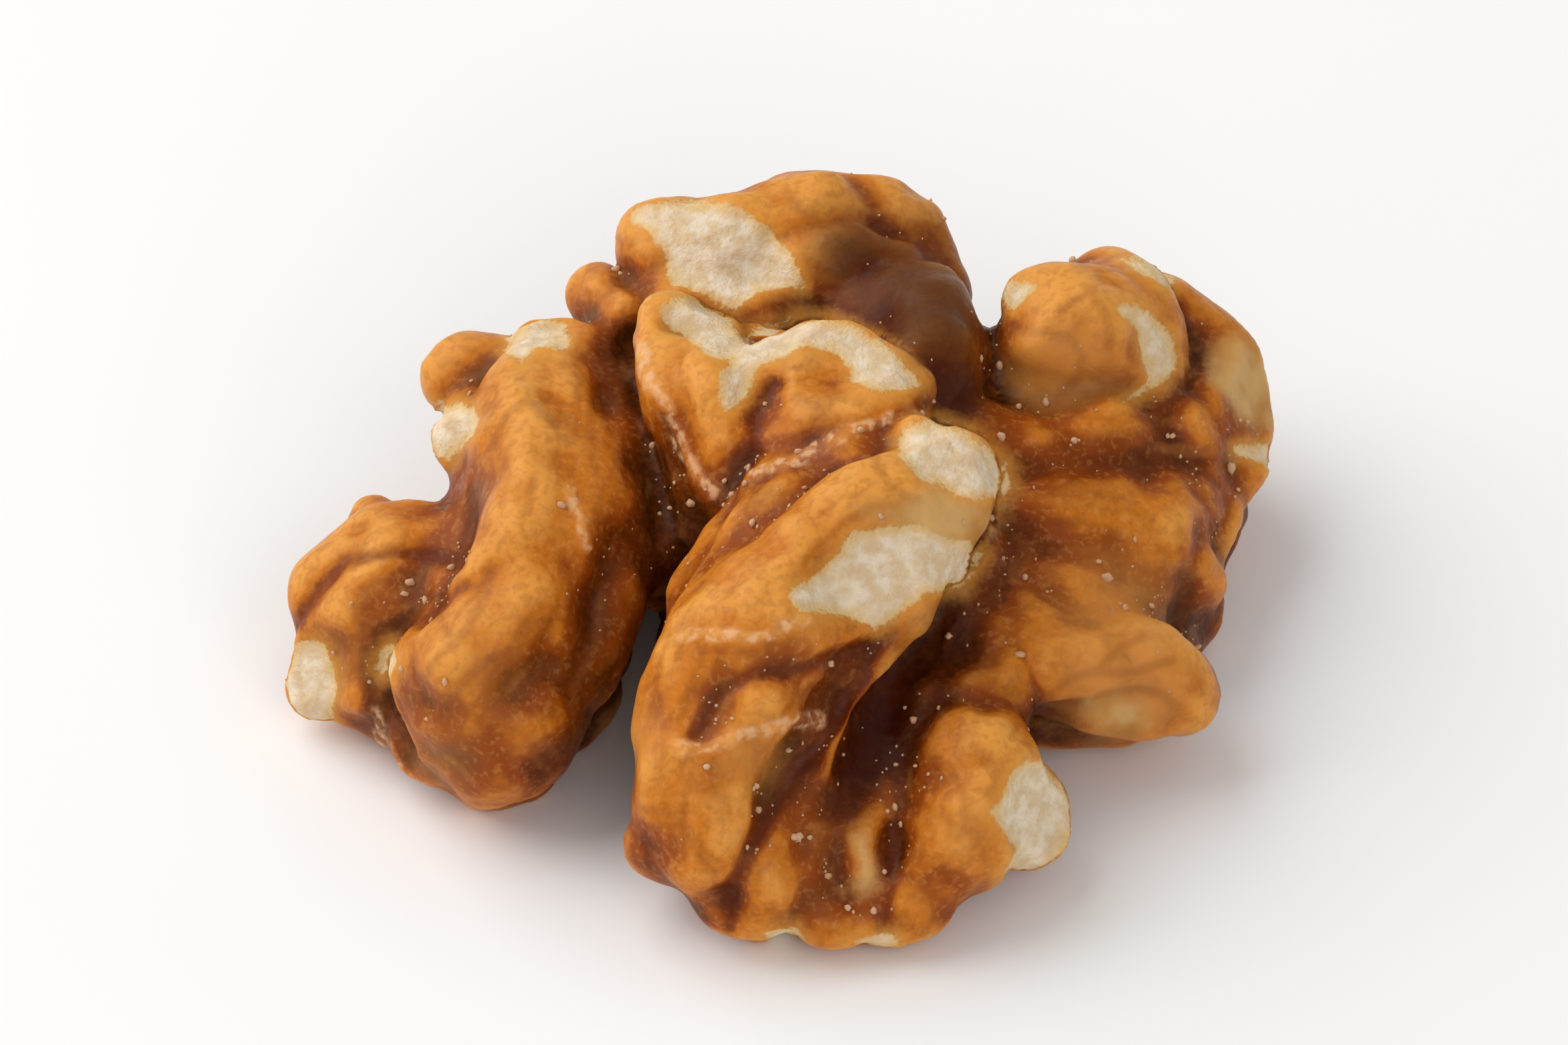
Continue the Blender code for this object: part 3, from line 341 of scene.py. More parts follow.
# Faint brown veins that lie flat in the skin, across the photograph's look.
VEINS = {
    "flank": [(-5.8, 8.1), (-5.9, 6.6), (-5.6, 5.1), (-5.7, 3.9), (-6.0, 2.6), (-6.3, 0.7), (-6.3, -0.4)],
    "keel_top": [(3.4, 7.2), (2.7, 6.2), (3.2, 5.3), (4.2, 4.7)],
    "thumb": [(8.1, -1.2), (8.9, -0.6), (9.6, -0.4), (10.8, -0.4), (11.9, -0.1)],
    "thumb_low": [(9.7, -1.2), (10.8, -1.0), (11.6, -1.2), (12.2, -1.6)],
    "thumb_branch": [(9.6, -0.4), (10.2, 0.3), (11.0, 0.7)],
    "ear_fan": [(-12.9, 0.2), (-13.2, 1.2), (-12.8, 2.2), (-11.9, 2.6)],
    "ear_fan_low": [(-12.6, 1.6), (-11.6, 1.9), (-10.7, 1.6), (-10.2, 0.8)],
    "bulk": [(-10.6, -2.0), (-9.8, -0.8), (-8.7, 0.2), (-7.6, 0.6), (-6.9, 1.6)],
    "bulk_low": [(-10.9, -0.4), (-10.0, 0.5), (-9.2, 1.5), (-8.9, 2.6)],
    "ridge": [(-8.9, 6.4), (-8.6, 7.4), (-7.8, 7.9), (-7.0, 7.2)],
    "flank_low": [(-6.3, -0.4), (-6.6, -1.6), (-6.2, -2.8)],
    "dome": [(8.6, 10.8), (9.4, 11.2), (10.0, 10.6), (10.1, 9.6)],
    "dome_loop": [(6.9, 10.3), (7.8, 10.1), (8.8, 9.9), (9.3, 9.3), (9.1, 8.6), (8.4, 7.9)],
    "dome_low": [(9.2, 8.8), (10.0, 8.4), (10.8, 8.5)],
    "heel": [(4.4, -2.9), (5.2, -3.4), (5.6, -4.4), (5.4, -5.4)],
    "heel_right": [(5.8, -2.6), (6.4, -3.4), (6.5, -4.4)],
    "keel_side": [(-2.6, 0.2), (-1.4, 0.3), (-0.2, 0.0)],
    "keel_foot": [(-4.4, -4.4), (-3.4, -4.8), (-2.4, -5.8), (-1.8, -7.0)],
    "back": [(0.2, 14.2), (0.9, 13.6), (2.0, 13.4), (2.8, 12.8)],
    "crown_face": [(0.4, 8.0), (1.2, 7.6), (1.6, 8.1), (2.4, 7.9)],
}

# Thin pale streaks that stand proud of the skin, across the photograph's look.
PALE = {
    "face_rib": [(-0.9, 5.7), (0.4, 6.1), (1.7, 6.7), (2.6, 7.1), (3.2, 7.3)],
    "keel_rib_high": [(-3.0, 0.7), (-1.7, 0.7), (-0.3, 0.8), (0.6, 1.2)],
    "keel_rib_low": [(-3.0, -2.6), (-2.1, -2.6), (-1.4, -2.3), (-0.4, -2.2), (0.3, -1.9), (1.1, -1.8)],
    "rib": [(-4.4, 9.6), (-4.0, 8.5), (-3.5, 7.4), (-3.1, 6.4), (-2.5, 5.5), (-2.1, 5.0)],
    "flank": [(-6.5, 5.1), (-6.1, 4.1), (-5.9, 3.4)],
    "toe_line": [(-12.6, -1.7), (-12.4, -2.5), (-11.9, -3.3), (-11.2, -4.1), (-10.4, -4.6)],
}

# Bare spots on the sides that the photograph doesn't show: x, y, z and reach.
HIDDEN_BARE = [(-4.9, 11.0, 5.6, 1.5), (3.4, 12.6, 4.4, 1.9), (12.2, 9.6, 5.2, 1.7), (-11.2, 4.4, 5.4, 1.3),
               (14.6, 0.6, 3.6, 1.2), (-13.8, -1.0, 2.0, 1.1), (4.0, 4.4, 0.9, 1.5), (-3.4, -3.2, 1.6, 1.4),
               (10.8, -2.8, 0.8, 1.1)]

# Places where the folds have melted together and only soft swells are left: x, y, z and reach.
CALM = [(9.6, -1.6, 6.2, 3.0), (-8.8, -1.2, 6.4, 3.4), (0.8, -8.6, 5.4, 2.2), (2.4, -10.6, 2.8, 2.0)]

# Places whose skin is lighter (above 0) or darker (below 0), partly by its own colour and partly as painted light and
# # shade: x, y, z, reach and how much.
TONES_AND_PAINTED_LIGHT = [(4.3, 4.6, 10.2, 3.0, -1.0), (5.4, 1.6, 9.6, 2.2, -0.6), (4.6, 8.6, 8.6, 2.4, -0.45),
         (10.6, -5.6, 5.6, 3.0, 0.55), (-10.2, 5.6, 7.4, 2.4, 0.45), (9.2, 4.4, 10.0, 2.8, 0.35),
         (-5.4, 7.6, 8.6, 2.0, 0.35), (-12.4, -2.6, 4.8, 2.8, 0.25), (-2.4, -8.0, 8.0, 3.2, 0.35),
         (5.6, -10.6, 6.0, 2.2, 0.25), (-2.2, 2.0, 8.4, 1.6, -0.4), (3.6, -8.2, 5.6, 2.6, -0.8)]

# The same, partly painted light and shade too, for what the photograph sees, measured across the look: to the right,
# # up, reach and how much.
SEEN_TONES_AND_PAINTED_LIGHT = [(2.0, 12.7, 1.5, -0.6), (-4.4, 12.9, 1.2, -0.3), (0.0, 9.9, 1.0, -0.35), (7.6, 9.0, 1.4, 1.0),
              (9.4, 8.8, 1.3, 0.6), (10.2, 6.8, 1.5, -0.3), (9.2, 5.2, 1.2, -0.35), (6.0, 3.4, 1.5, -0.4),
              (10.6, 2.2, 1.4, 0.3), (10.6, -1.2, 1.5, 1.0), (7.0, -1.1, 1.0, -0.4), (5.0, 1.2, 1.2, -0.35),
              (2.8, 1.0, 0.9, -0.3), (1.0, 1.2, 1.1, 0.5), (-0.8, 5.0, 1.2, -0.4), (1.2, 7.0, 1.0, -0.35),
              (-3.0, 2.4, 1.3, -0.4), (-9.4, -0.2, 1.8, 0.45), (-10.6, -3.4, 1.4, 0.4), (-8.4, 5.6, 1.6, 0.35),
              (8.6, -0.2, 1.2, 0.2), (-4.9, -2.4, 1.1, 0.9), (-0.9, -3.0, 1.2, 0.6), (1.7, -4.6, 1.1, -0.7),
              (2.4, -3.2, 0.9, -0.5), (0.9, -6.0, 0.7, -0.5), (5.6, -5.2, 1.4, 0.4), (-11.0, 6.8, 1.4, -0.3),
              (3.2, -2.6, 1.2, -0.4), (-13.4, -0.6, 1.2, 0.4), (0.4, -6.6, 1.2, 0.3)]

OUTER_FOLDS = (LEFT_WING, BACK_WING, MIDDLE, FRONT_WING, RIGHT_WING)

# Random values at the corners of a lattice of cubes, which every rough or streaked surface is worked out from.
LATTICE_SIZE = 32
LATTICE = np.random.default_rng(11).random((LATTICE_SIZE,) * 3)


def smooth_path(stops):
    """A smooth curve through the stops. Between stops a and b, a distance L apart, with slopes m and n there, it is
    a(1 - t)^2(1 + 2t) + b t^2(3 - 2t) + L m t(1 - t)^2 - L n t^2(1 - t), for t from 0 to 1. Radii run the same way."""
    gaps = np.linalg.norm(np.diff(stops[:, :3], axis=0), axis=1)[:, None]
    chords = np.diff(stops, axis=0) / gaps
    inner = (chords[:-1] * gaps[1:] + chords[1:] * gaps[:-1]) / (gaps[1:] + gaps[:-1])
    slopes = np.concatenate([chords[:1], inner, chords[-1:]])
    t = np.linspace(0, 1, STEPS, endpoint=False)[None, :, None]
    a, b, m, n, L = stops[:-1, None], stops[1:, None], slopes[:-1, None], slopes[1:, None], gaps[:, None]
    curve = a * (1 - t) ** 2 * (1 + 2 * t) + b * t**2 * (3 - 2 * t) + L * (m * t * (1 - t) ** 2 - n * t**2 * (1 - t))
    return np.concatenate([curve.reshape(-1, 4), stops[-1:]])


def unit(vectors):
    """Vectors the same way, each divided by its length."""
    return vectors / np.linalg.norm(vectors, axis=-1, keepdims=True)


def round_end(stop, way):
    """Rows that close a fold: the centre runs on by r sin(b) and the radius is r cos(b), for b up to 88 degrees."""
    centres = stop[:3] + way * (stop[3] * np.sin(CAP_ANGLES))[:, None]
    return np.concatenate([centres, (stop[3] * np.cos(CAP_ANGLES))[:, None]], axis=1)


def swept_fold(stops, turn):
    """A fluted circle carried along a path with round ends. The point at angle a on the station with centre c and
    radius r is c + r (1 + 0.04 cos 3(a - w)) (u cos a + v sin a), where u and v are square to the path and w winds
    slowly along it."""
    path = smooth_path(np.array(stops, float))
    along = unit(np.gradient(path[:, :3], axis=0))
    start, end = round_end(path[0], -along[0])[::-1], round_end(path[-1], along[-1])
    rows = np.concatenate([start, path, end])
    along = np.concatenate([np.repeat(along[:1], len(start), 0), along, np.repeat(along[-1:], len(end), 0)])
    u = unit(np.cross(along, ASIDE))
    v = np.cross(along, u)
    a = np.arange(SIDES) * 2 * math.pi / SIDES
    w = turn + np.linspace(0, FLUTE_TURN * len(stops), len(rows))
    reach = rows[:, 3:] * (1 + FLUTE_DEPTH * np.cos(FLUTES * (a[None, :] - w[:, None])))
    ring = u[:, None] * np.cos(a)[:, None] + v[:, None] * np.sin(a)[:, None]
    points = (rows[:, None, :3] + reach[..., None] * ring).reshape(-1, 3)
    here = np.arange(len(points)).reshape(len(rows), SIDES)
    beside = np.roll(here, -1, axis=1)
    quads = np.stack([here[:-1], beside[:-1], beside[1:], here[1:]], axis=-1).reshape(-1, 4)
    return points, [*quads.tolist(), here[0, ::-1].tolist(), here[-1].tolist()]


def mesh_object(name, points, faces):
    """An object with a mesh of these points, given in millimetres."""
    mesh = bpy.data.meshes.new(name)
    mesh.from_pydata(points * MM, [], faces)
    mesh.update()
    obj = bpy.data.objects.new(name, mesh)
    bpy.context.scene.collection.objects.link(obj)
    return obj


def melted_folds():
    """One closed skin round all the swept folds, with soft valleys and low lumps, as a mesh."""
    points, faces, count = [], [], 0
    for group in (*OUTER_FOLDS, FLESH, INNER_FACE):
        for turn, stops in enumerate(group.values()):
            fold, sides = swept_fold(stops, turn)
            points.append(fold)
            faces += [[corner + count for corner in side] for side in sides]
            count += len(fold)
    folds = mesh_object("folds", np.concatenate(points), faces)
    remesh = folds.modifiers.new("one_skin", "REMESH")
    remesh.mode = "VOXEL"
    remesh.voxel_size = VOXEL * MM
    smooth = folds.modifiers.new("soft_valleys", "SMOOTH")
    smooth.factor = 0.5
    smooth.iterations = SOFTENING_PASSES
    lumps = bpy.data.textures.new("lumps", "CLOUDS")
    lumps.noise_scale = LUMP_SIZE * MM
    lumps.noise_depth = 1
    displace = folds.modifiers.new("lumps", "DISPLACE")
    displace.texture = lumps
    displace.texture_coords = "LOCAL"
    displace.strength = LUMP_HEIGHT * MM
    mesh = bpy.data.meshes.new_from_object(folds.evaluated_get(bpy.context.evaluated_depsgraph_get()))
    bpy.data.objects.remove(folds)
    return mesh


def points_of(mesh):
    """The mesh's points, in millimetres."""
    points = np.empty(len(mesh.vertices) * 3, np.float32)
    mesh.vertices.foreach_get("co", points)
    return points.reshape(-1, 3).astype(float) / MM


def normals_of(mesh):
    """The way that the skin faces at each of the mesh's points."""
    normals = np.empty(len(mesh.vertices) * 3, np.float32)
    mesh.vertex_normals.foreach_get("vector", normals)
    return normals.reshape(-1, 3).astype(float)


def put_points(mesh, points):
    """Moves the mesh's points to these, given in millimetres."""
    mesh.vertices.foreach_set("co", (points * MM).astype(np.float32).ravel())
    mesh.update()


def edges_of(mesh):
    """The numbers of the two points of each edge."""
    edges = np.empty(len(mesh.edges) * 2, np.int32)
    mesh.edges.foreach_get("vertices", edges)
    return edges.reshape(-1, 2)


def keep(mesh, name, values):
    """Keeps a value for each point on the mesh, where the material reads it by name."""
    mesh.attributes.new(name, "FLOAT", "POINT").data.foreach_set("value", np.ravel(values).astype(np.float32))


def kept_on(mesh, name):
    """The values that the mesh keeps under this name."""
    values = np.empty(len(mesh.vertices), np.float32)
    mesh.attributes[name].data.foreach_get("value", values)
    return values


def spread(values, edges, passes, share=0.5):
    """The values after each point has moved this share of the way to its neighbours' mean, this many times."""
    values = values.reshape(len(values), -1)
    neighbours = np.bincount(edges.ravel(), minlength=len(values))[:, None]
    for _ in range(passes):
        total = np.stack([np.bincount(edges[:, 0], column[edges[:, 1]], len(values)) +
                          np.bincount(edges[:, 1], column[edges[:, 0]], len(values)) for column in values.T], axis=1)
        values = values + share * (total / neighbours - values)
    return values


def rough(points, size):
    """Smooth noise from 0 to 1: random values on a lattice of this size, eased between its corners by 3f^2 - 2f^3."""
    place = points / size
    cell = np.floor(place).astype(int)
    f = place - cell
    f = f * f * (3 - 2 * f)
    total = 0.0
    for corner in np.ndindex(2, 2, 2):
        at = (cell + corner) % LATTICE_SIZE
        total = total + LATTICE[at[:, 0], at[:, 1], at[:, 2]] * np.prod(np.where(corner, f, 1 - f), axis=1)
    return total


def uneven(points, size, height):
    """Swells of this size, by up to half of this height up or down."""
    return height * (rough(points, size) - 0.5)


def grain_along(points, along, size, reach):
    """Streaks: the mean of fine noise over a short straight line through each point, along its fold."""
    steps = np.linspace(-reach, reach, 13)
    return sum(rough(points + step * along, size) for step in steps) / len(steps)


def fold_direction(points):
    """Which way the fold under each point runs: the direction of the piece of path whose surface is nearest, turned so
    that it runs towards the back."""
    nearest = np.full(len(points), np.inf)
    along = np.zeros_like(points)
    for group in OUTER_FOLDS:
        for stops in group.values():
            path = np.array(stops, float)
            for start, end in zip(path, path[1:]):
                way = end[:3] - start[:3]
                share = np.clip((points - start[:3]) @ way / (way @ way), 0, 1)
                off_axis = points - start[:3] - share[:, None] * way
                height = np.linalg.norm(off_axis, axis=1) - (start[3] + share * (end[3] - start[3]))
                closer = height < nearest
                nearest = np.where(closer, height, nearest)
                along[closer] = unit(way) * (1 if way[1] + 0.1 * way[0] > 0 else -1)
    return along


def distance_to_route(points, route):
    """Each point's distance to the nearest of the route's straight pieces, in as many dimensions as they have."""
    nearest = np.full(len(points), np.inf)
    for start, end in zip(route, route[1:]):
        way = end - start
        share = np.clip((points - start) @ way / (way @ way), 0, 1)
        nearest = np.minimum(nearest, np.linalg.norm(points - start - share[:, None] * way, axis=1))
    return nearest


def depth_inside(flat, outline):
    """How far each point of the plane is inside a closed outline, below 0 outside: the distance to its nearest side,
    with the sign of how many sides a line to the right crosses, odd inside and even outside."""
    corners = np.array(outline)
    inside = np.zeros(len(flat), bool)
    for (x, y), (next_x, next_y) in zip(corners, np.roll(corners, -1, axis=0)):
        crosses = (flat[:, 1] < y) != (flat[:, 1] < next_y)
        inside ^= crosses & (flat[:, 0] < x + (flat[:, 1] - y) * (next_x - x) / ((next_y - y) or 1.0))
    nearest = distance_to_route(flat, np.concatenate([corners, corners[:1]]))
    return np.where(inside, nearest, -nearest)


def eased(values, low, high):
    """From 0 at low to 1 at high, by 3t^2 - 2t^3."""
    t = np.clip((values - low) / (high - low), 0, 1)
    return t * t * (3 - 2 * t)


def fading(distance, reach):
    """From 1 at no distance to 0 well past the reach, by exp(-(distance / reach)^2)."""
    return np.exp(-((distance / reach) ** 2))


def away_from(points, spot):
    """Each point's distance to the spot."""
    return np.linalg.norm(points - spot, axis=1)


def near(points, places):
    """From 1 at the middle of any of the places to 0 away from all."""
    return np.max([fading(away_from(points, place[:3]), place[3]) for place in places], axis=0)


def across_look(points):
    """Where the points stand across the photograph's look: to the right and up."""
    return np.stack([points[:, 0], points @ UPWARD], axis=1)


def seen(points, normals):
    """1 where the photograph sees the skin, fading to 0 where it turns away or another fold stands before it. In each
    quarter of a millimetre across the look, a point is seen when it is less than 0.35 + 0.4 tan(q) mm behind the
    nearest one, where q is the angle between its normal and the look."""
    facing = normals @ TOWARD
    cells = np.floor(across_look(points) / SIGHT_CELL).astype(int)
    cells -= cells.min(axis=0)
    key = cells[:, 0] * (cells[:, 1].max() + 1) + cells[:, 1]
    ahead = points @ TOWARD
    front = np.full(key.max() + 1, -np.inf)
    np.maximum.at(front, key, ahead)
    reach = 0.35 + 0.4 * np.sqrt(1 - np.clip(facing, 0, 1) ** 2) / np.clip(facing, 0.1, 1)
    return eased(facing, -0.15, 0.05) * eased(ahead - front[key] + reach, -0.2, 0.1)


def shelter(points):
    """How much of the sky the folds round a point hide, from 0 to 1: the mean, over 16 directions, of the sine of the
    steepest rise to the skin's top within 5 mm, where the top is kept on half-millimetre squares."""
    across = round(2 * SKY_HALF_WIDTH / SKY_SQUARE)

    def square(*place):
        column, row = (np.floor((at + SKY_HALF_WIDTH) / SKY_SQUARE).clip(0, across - 1).astype(int) for at in place)
        return column * across + row

    top = np.zeros(across * across)
    np.maximum.at(top, square(points[:, 0], points[:, 1]), points[:, 2])
    hidden = np.zeros(len(points))
    for angle in np.arange(SKY_DIRECTIONS) * 2 * math.pi / SKY_DIRECTIONS:
        rise = np.zeros(len(points))
        for reach in SKY_REACHES:
            there = top[square(points[:, 0] + reach * math.cos(angle), points[:, 1] + reach * math.sin(angle))]
            rise = np.maximum(rise, (there - points[:, 2]) / reach)
        hidden += rise / np.sqrt(1 + rise**2) / SKY_DIRECTIONS
    return hidden


def creased(points, normals):
    """Each crease goes in along the normals by its depth, and less so away from it."""
    for stops, width, depth in CREASES.values():
        points = points - normals * (depth * fading(distance_to_route(points, np.array(stops)), width))[:, None]
    return points


def chipped(points):
    """What stands over each chip's flat is pressed down onto it, and less so towards the end of its reach."""
    for spot, direction, reach in CHIPS.values():
        normal = unit(np.array(direction))
        away = points - spot
        share = np.clip((reach - np.linalg.norm(away, axis=1)) / (CHIP_FADE * reach), 0, 1)
        points = points - (np.maximum(away @ normal, 0) * share)[:, None] * normal
    return points


def outlined(flat, sight, outlines):
    """How far each point is inside any of the outlines, or -1 when it is further out than that. It counts as outside
    where its share in the photograph's sight, from 0 to 1, is under 0.4."""
    in_sight = 1.6 * (sight - 0.4)
    depths = [np.minimum(depth_inside(flat, outline), in_sight) for outline in outlines.values()]
    return np.maximum(np.max(depths, axis=0), -1.0)


def bare_places(points, normals, edges, flat, sight):
    """How far each point is inside bare flesh, below 0 on the skin. The side in the photograph has outlines. A spot on
    the hidden sides is bare within its reach where the skin stands WORN_CREST over its broad form, unevenly."""
    bare = outlined(flat, sight, BARE)
    raised = np.sum((points - spread(points, edges, CALM_PASSES)) * normals, axis=1)
    for x, y, z, reach in HIDDEN_BARE:
        worn = np.minimum(0.8 * (reach - away_from(points, (x, y, z))), 2.0 * (raised - WORN_CREST))
        bare = np.maximum(bare, worn + uneven(points, 1.2, 1.4))
    return bare


def drawn(flat, sight, routes, width):
    """From 1 on any of the routes to 0 away from all, where the photograph sees it."""
    return np.max([sight * fading(distance_to_route(flat, np.array(route)), width)
                   for route in routes.values()], axis=0)


def crease_lines(points):
    """Dark lines at the bottom of the creases, partly the skin's red-brown and partly painted shade there, half as
    strong as drawn ones and half as wide as their creases.
    """
    wavering = points + uneven(points, 0.9, 0.4)[:, None]
    return np.max([0.5 * fading(distance_to_route(wavering, np.array(stops)), 0.5 * width)
                   for stops, width, _ in CREASES.values()], axis=0)


def make_kernel():
    """The kernel's skin, with what the material needs kept on its points. The folds are creased, calmed and chipped.
    Each point then stands out along its normal by the pale streaks, grain, lumps and swells there, less the lines and
    the depth of bare flesh."""
    mesh = melted_folds()
    edges = edges_of(mesh)
    points = creased(points_of(mesh), normals_of(mesh))
    points = points + near(points, CALM)[:, None] * (spread(points, edges, CALM_PASSES) - points)
    points = spread(chipped(points), edges, CHIP_PASSES)
    put_points(mesh, points)
    normals = normals_of(mesh)

    flat = across_look(points)
    sight = spread(seen(points, normals), edges, SIGHT_PASSES)[:, 0]
    ragged = uneven(points, 0.7, 0.24) + uneven(points, 0.25, 0.1)
    bare = np.clip(bare_places(points, normals, edges, flat, sight) + ragged, -1, 1)
    waxy = np.clip(outlined(flat, sight, WAXY) + ragged, -1, 1)
    wavering = flat + np.stack([uneven(points, 0.9, WAVER), uneven(points + 7, 0.9, WAVER)], axis=1)
    line = np.maximum(drawn(wavering, sight, LINES, LINE_WIDTH), crease_lines(points))
    vein = drawn(wavering, sight, VEINS, VEIN_WIDTH)
    pale = drawn(wavering, sight, PALE, 0.12 + 0.2 * rough(points, 0.8))

    along = fold_direction(points)
    along = unit(along - normals * np.sum(along * normals, axis=1, keepdims=True) + 1e-9)
    grain = grain_along(points, along, 0.3, 1.2)
    broad = grain_along(points, along, 1.3, 2.4)
    flesh = eased(bare, -0.05, 0.12)
    skin = 1 - flesh
    height = STREAK_HEIGHT * pale - LINE_DEPTH * line + GRAIN_HEIGHT * (grain - 0.5) * skin - FLESH_DEPTH * flesh
    height = height + flesh * FLESH_ROUGHNESS * (rough(points, 0.42) - 0.5) + uneven(points, 0.8, SMALL_LUMP_HEIGHT)
    height = height + SWELL_HEIGHT * (broad - 0.5) * skin
    points = points + normals * height[:, None]

    # Hollows and the folds' shelter from the sky, which the material turns into painted shade and which also place the
    # crumbs.
    close = spread(points, edges, CLOSE_PASSES)
    wide = spread(close, edges, WIDE_PASSES)
    hollow = np.sum((wide - points) * normals, axis=1)
    fine = np.sum((close - points) * normals, axis=1)
    sheltered = shelter(points) * (1 - 0.6 * eased(-normals[:, 2], 0.1, 0.6))
    shade = spread(sheltered, edges, SHADE_PASSES)[:, 0]
    # Lighter and darker places, partly the skin's own colour and partly painted light and shade.
    tone_and_painted_light = sum(amount * fading(away_from(points, (x, y, z)), reach) for x, y, z, reach, amount in TONES_AND_PAINTED_LIGHT)
    for right, up, reach, amount in SEEN_TONES_AND_PAINTED_LIGHT:
        tone_and_painted_light = tone_and_painted_light + amount * sight * fading(away_from(flat, (right, up)), reach)

    points = points + SHIFT
    points[:, 2] = np.maximum(points[:, 2], 0)
    put_points(mesh, points)
    for name, values in (("bare", bare), ("waxy", waxy), ("line", line), ("vein", vein), ("pale", pale),
                         ("grain", grain), ("broad", broad), ("hollow", hollow), ("fine_hollow", fine),
                         ("shade", shade), ("tone_and_painted_light", tone_and_painted_light)):
        keep(mesh, name, values)
    kernel = bpy.data.objects.new("kernel_skin", mesh)
    bpy.context.scene.collection.objects.link(kernel)
    mesh.shade_smooth()
    return kernel


def make_crumbs(skin):
    """Crumbs of flesh that lie in the folds. A point of the skin is taken with a weight of how deep and how level it
    is. A crumb there is a ball of 20 corners, at the angles (a, b) from its axis, pushed in and out by up to a quarter
    of its radius, and then stretched by 0.7 to 1.5 times each way."""
    points, normals = points_of(skin), normals_of(skin)
    hollow, shade, bare = (kept_on(skin, name) for name in ("hollow", "shade", "bare"))
    weight = (eased(hollow, -0.2, 0.15) + 0.1) * eased(shade, 0.1, 0.5) * eased(shade, 1.0, 0.7)
    weight = weight * eased(normals[:, 2], -0.1, 0.4) * eased(rough(points, 2.2), 0.35, 0.6) * (bare < -0.2)
    random = np.random.default_rng(5)
    at = random.choice(len(points), CRUMBS, replace=False, p=weight / weight.sum())
    radius = 0.035 + 0.11 * random.random(CRUMBS) ** 5
    b = CRUMB_RINGS[:, None]
    a = np.arange(CRUMB_SIDES) * 2 * math.pi / CRUMB_SIDES
    ball = np.stack([np.sin(b) * np.cos(a), np.sin(b) * np.sin(a), np.cos(b) * np.ones(CRUMB_SIDES)], axis=-1)
    ball = ball.reshape(-1, 3)
    push = 1 + 0.5 * (random.random((CRUMBS, len(CRUMB_RINGS), CRUMB_SIDES)) - 0.5)
    for pole in (0, -1):
        push[:, pole] = push[:, pole, :1]
    push = push.reshape(CRUMBS, -1, 1)
    stretch = 0.7 + 0.8 * random.random((CRUMBS, 1, 3))
    middles = points[at] + normals[at] * (radius * CRUMB_LIFT)[:, None]
    corners = middles[:, None] + radius[:, None, None] * ball * push * stretch
    here = np.arange(len(ball)).reshape(-1, CRUMB_SIDES)
    beside = np.roll(here, -1, axis=1)
    sides = np.stack([here[:-1], here[1:], beside[1:], beside[:-1]], axis=-1).reshape(-1, 4)
    faces = (sides[None] + len(ball) * np.arange(CRUMBS)[:, None, None]).reshape(-1, 4)
    crumbs = mesh_object("flesh_crumbs", corners.reshape(-1, 3), faces.tolist())
    cleaned = bmesh.new()
    cleaned.from_mesh(crumbs.data)
    bmesh.ops.remove_doubles(cleaned, verts=cleaned.verts, dist=1e-7)
    bmesh.ops.recalc_face_normals(cleaned, faces=cleaned.faces)
    cleaned.to_mesh(crumbs.data)
    cleaned.free()
    crumbs.data.shade_smooth()
    return crumbs


def colour(code):
    """The linear colour, with alpha, of an sRGB hex code."""
    parts = [int(code[i : i + 2], 16) / 255 for i in (1, 3, 5)]
    return (*[p / 12.92 if p <= 0.04045 else ((p + 0.055) / 1.055) ** 2.4 for p in parts], 1.0)


def add(tree, kind, inputs=(), output=0, **settings):
    """Adds a node with its settings, gives each named or numbered input its value or a link, and returns an output."""
    made = tree.nodes.new("ShaderNode" + kind)
    for name, value in settings.items():
        setattr(made, name, value)
    for key, value in dict(inputs).items():
        if isinstance(value, bpy.types.NodeSocket):
            tree.links.new(value, made.inputs[key])
        else:
            made.inputs[key].default_value = value
    return made.outputs[output] if len(made.outputs) else None


def new_material(name):
    """A material with no nodes yet, and the function that adds them."""
    material = bpy.data.materials.new(name)
    material.use_nodes = True
    material.node_tree.nodes.clear()
    return material, partial(add, material.node_tree)


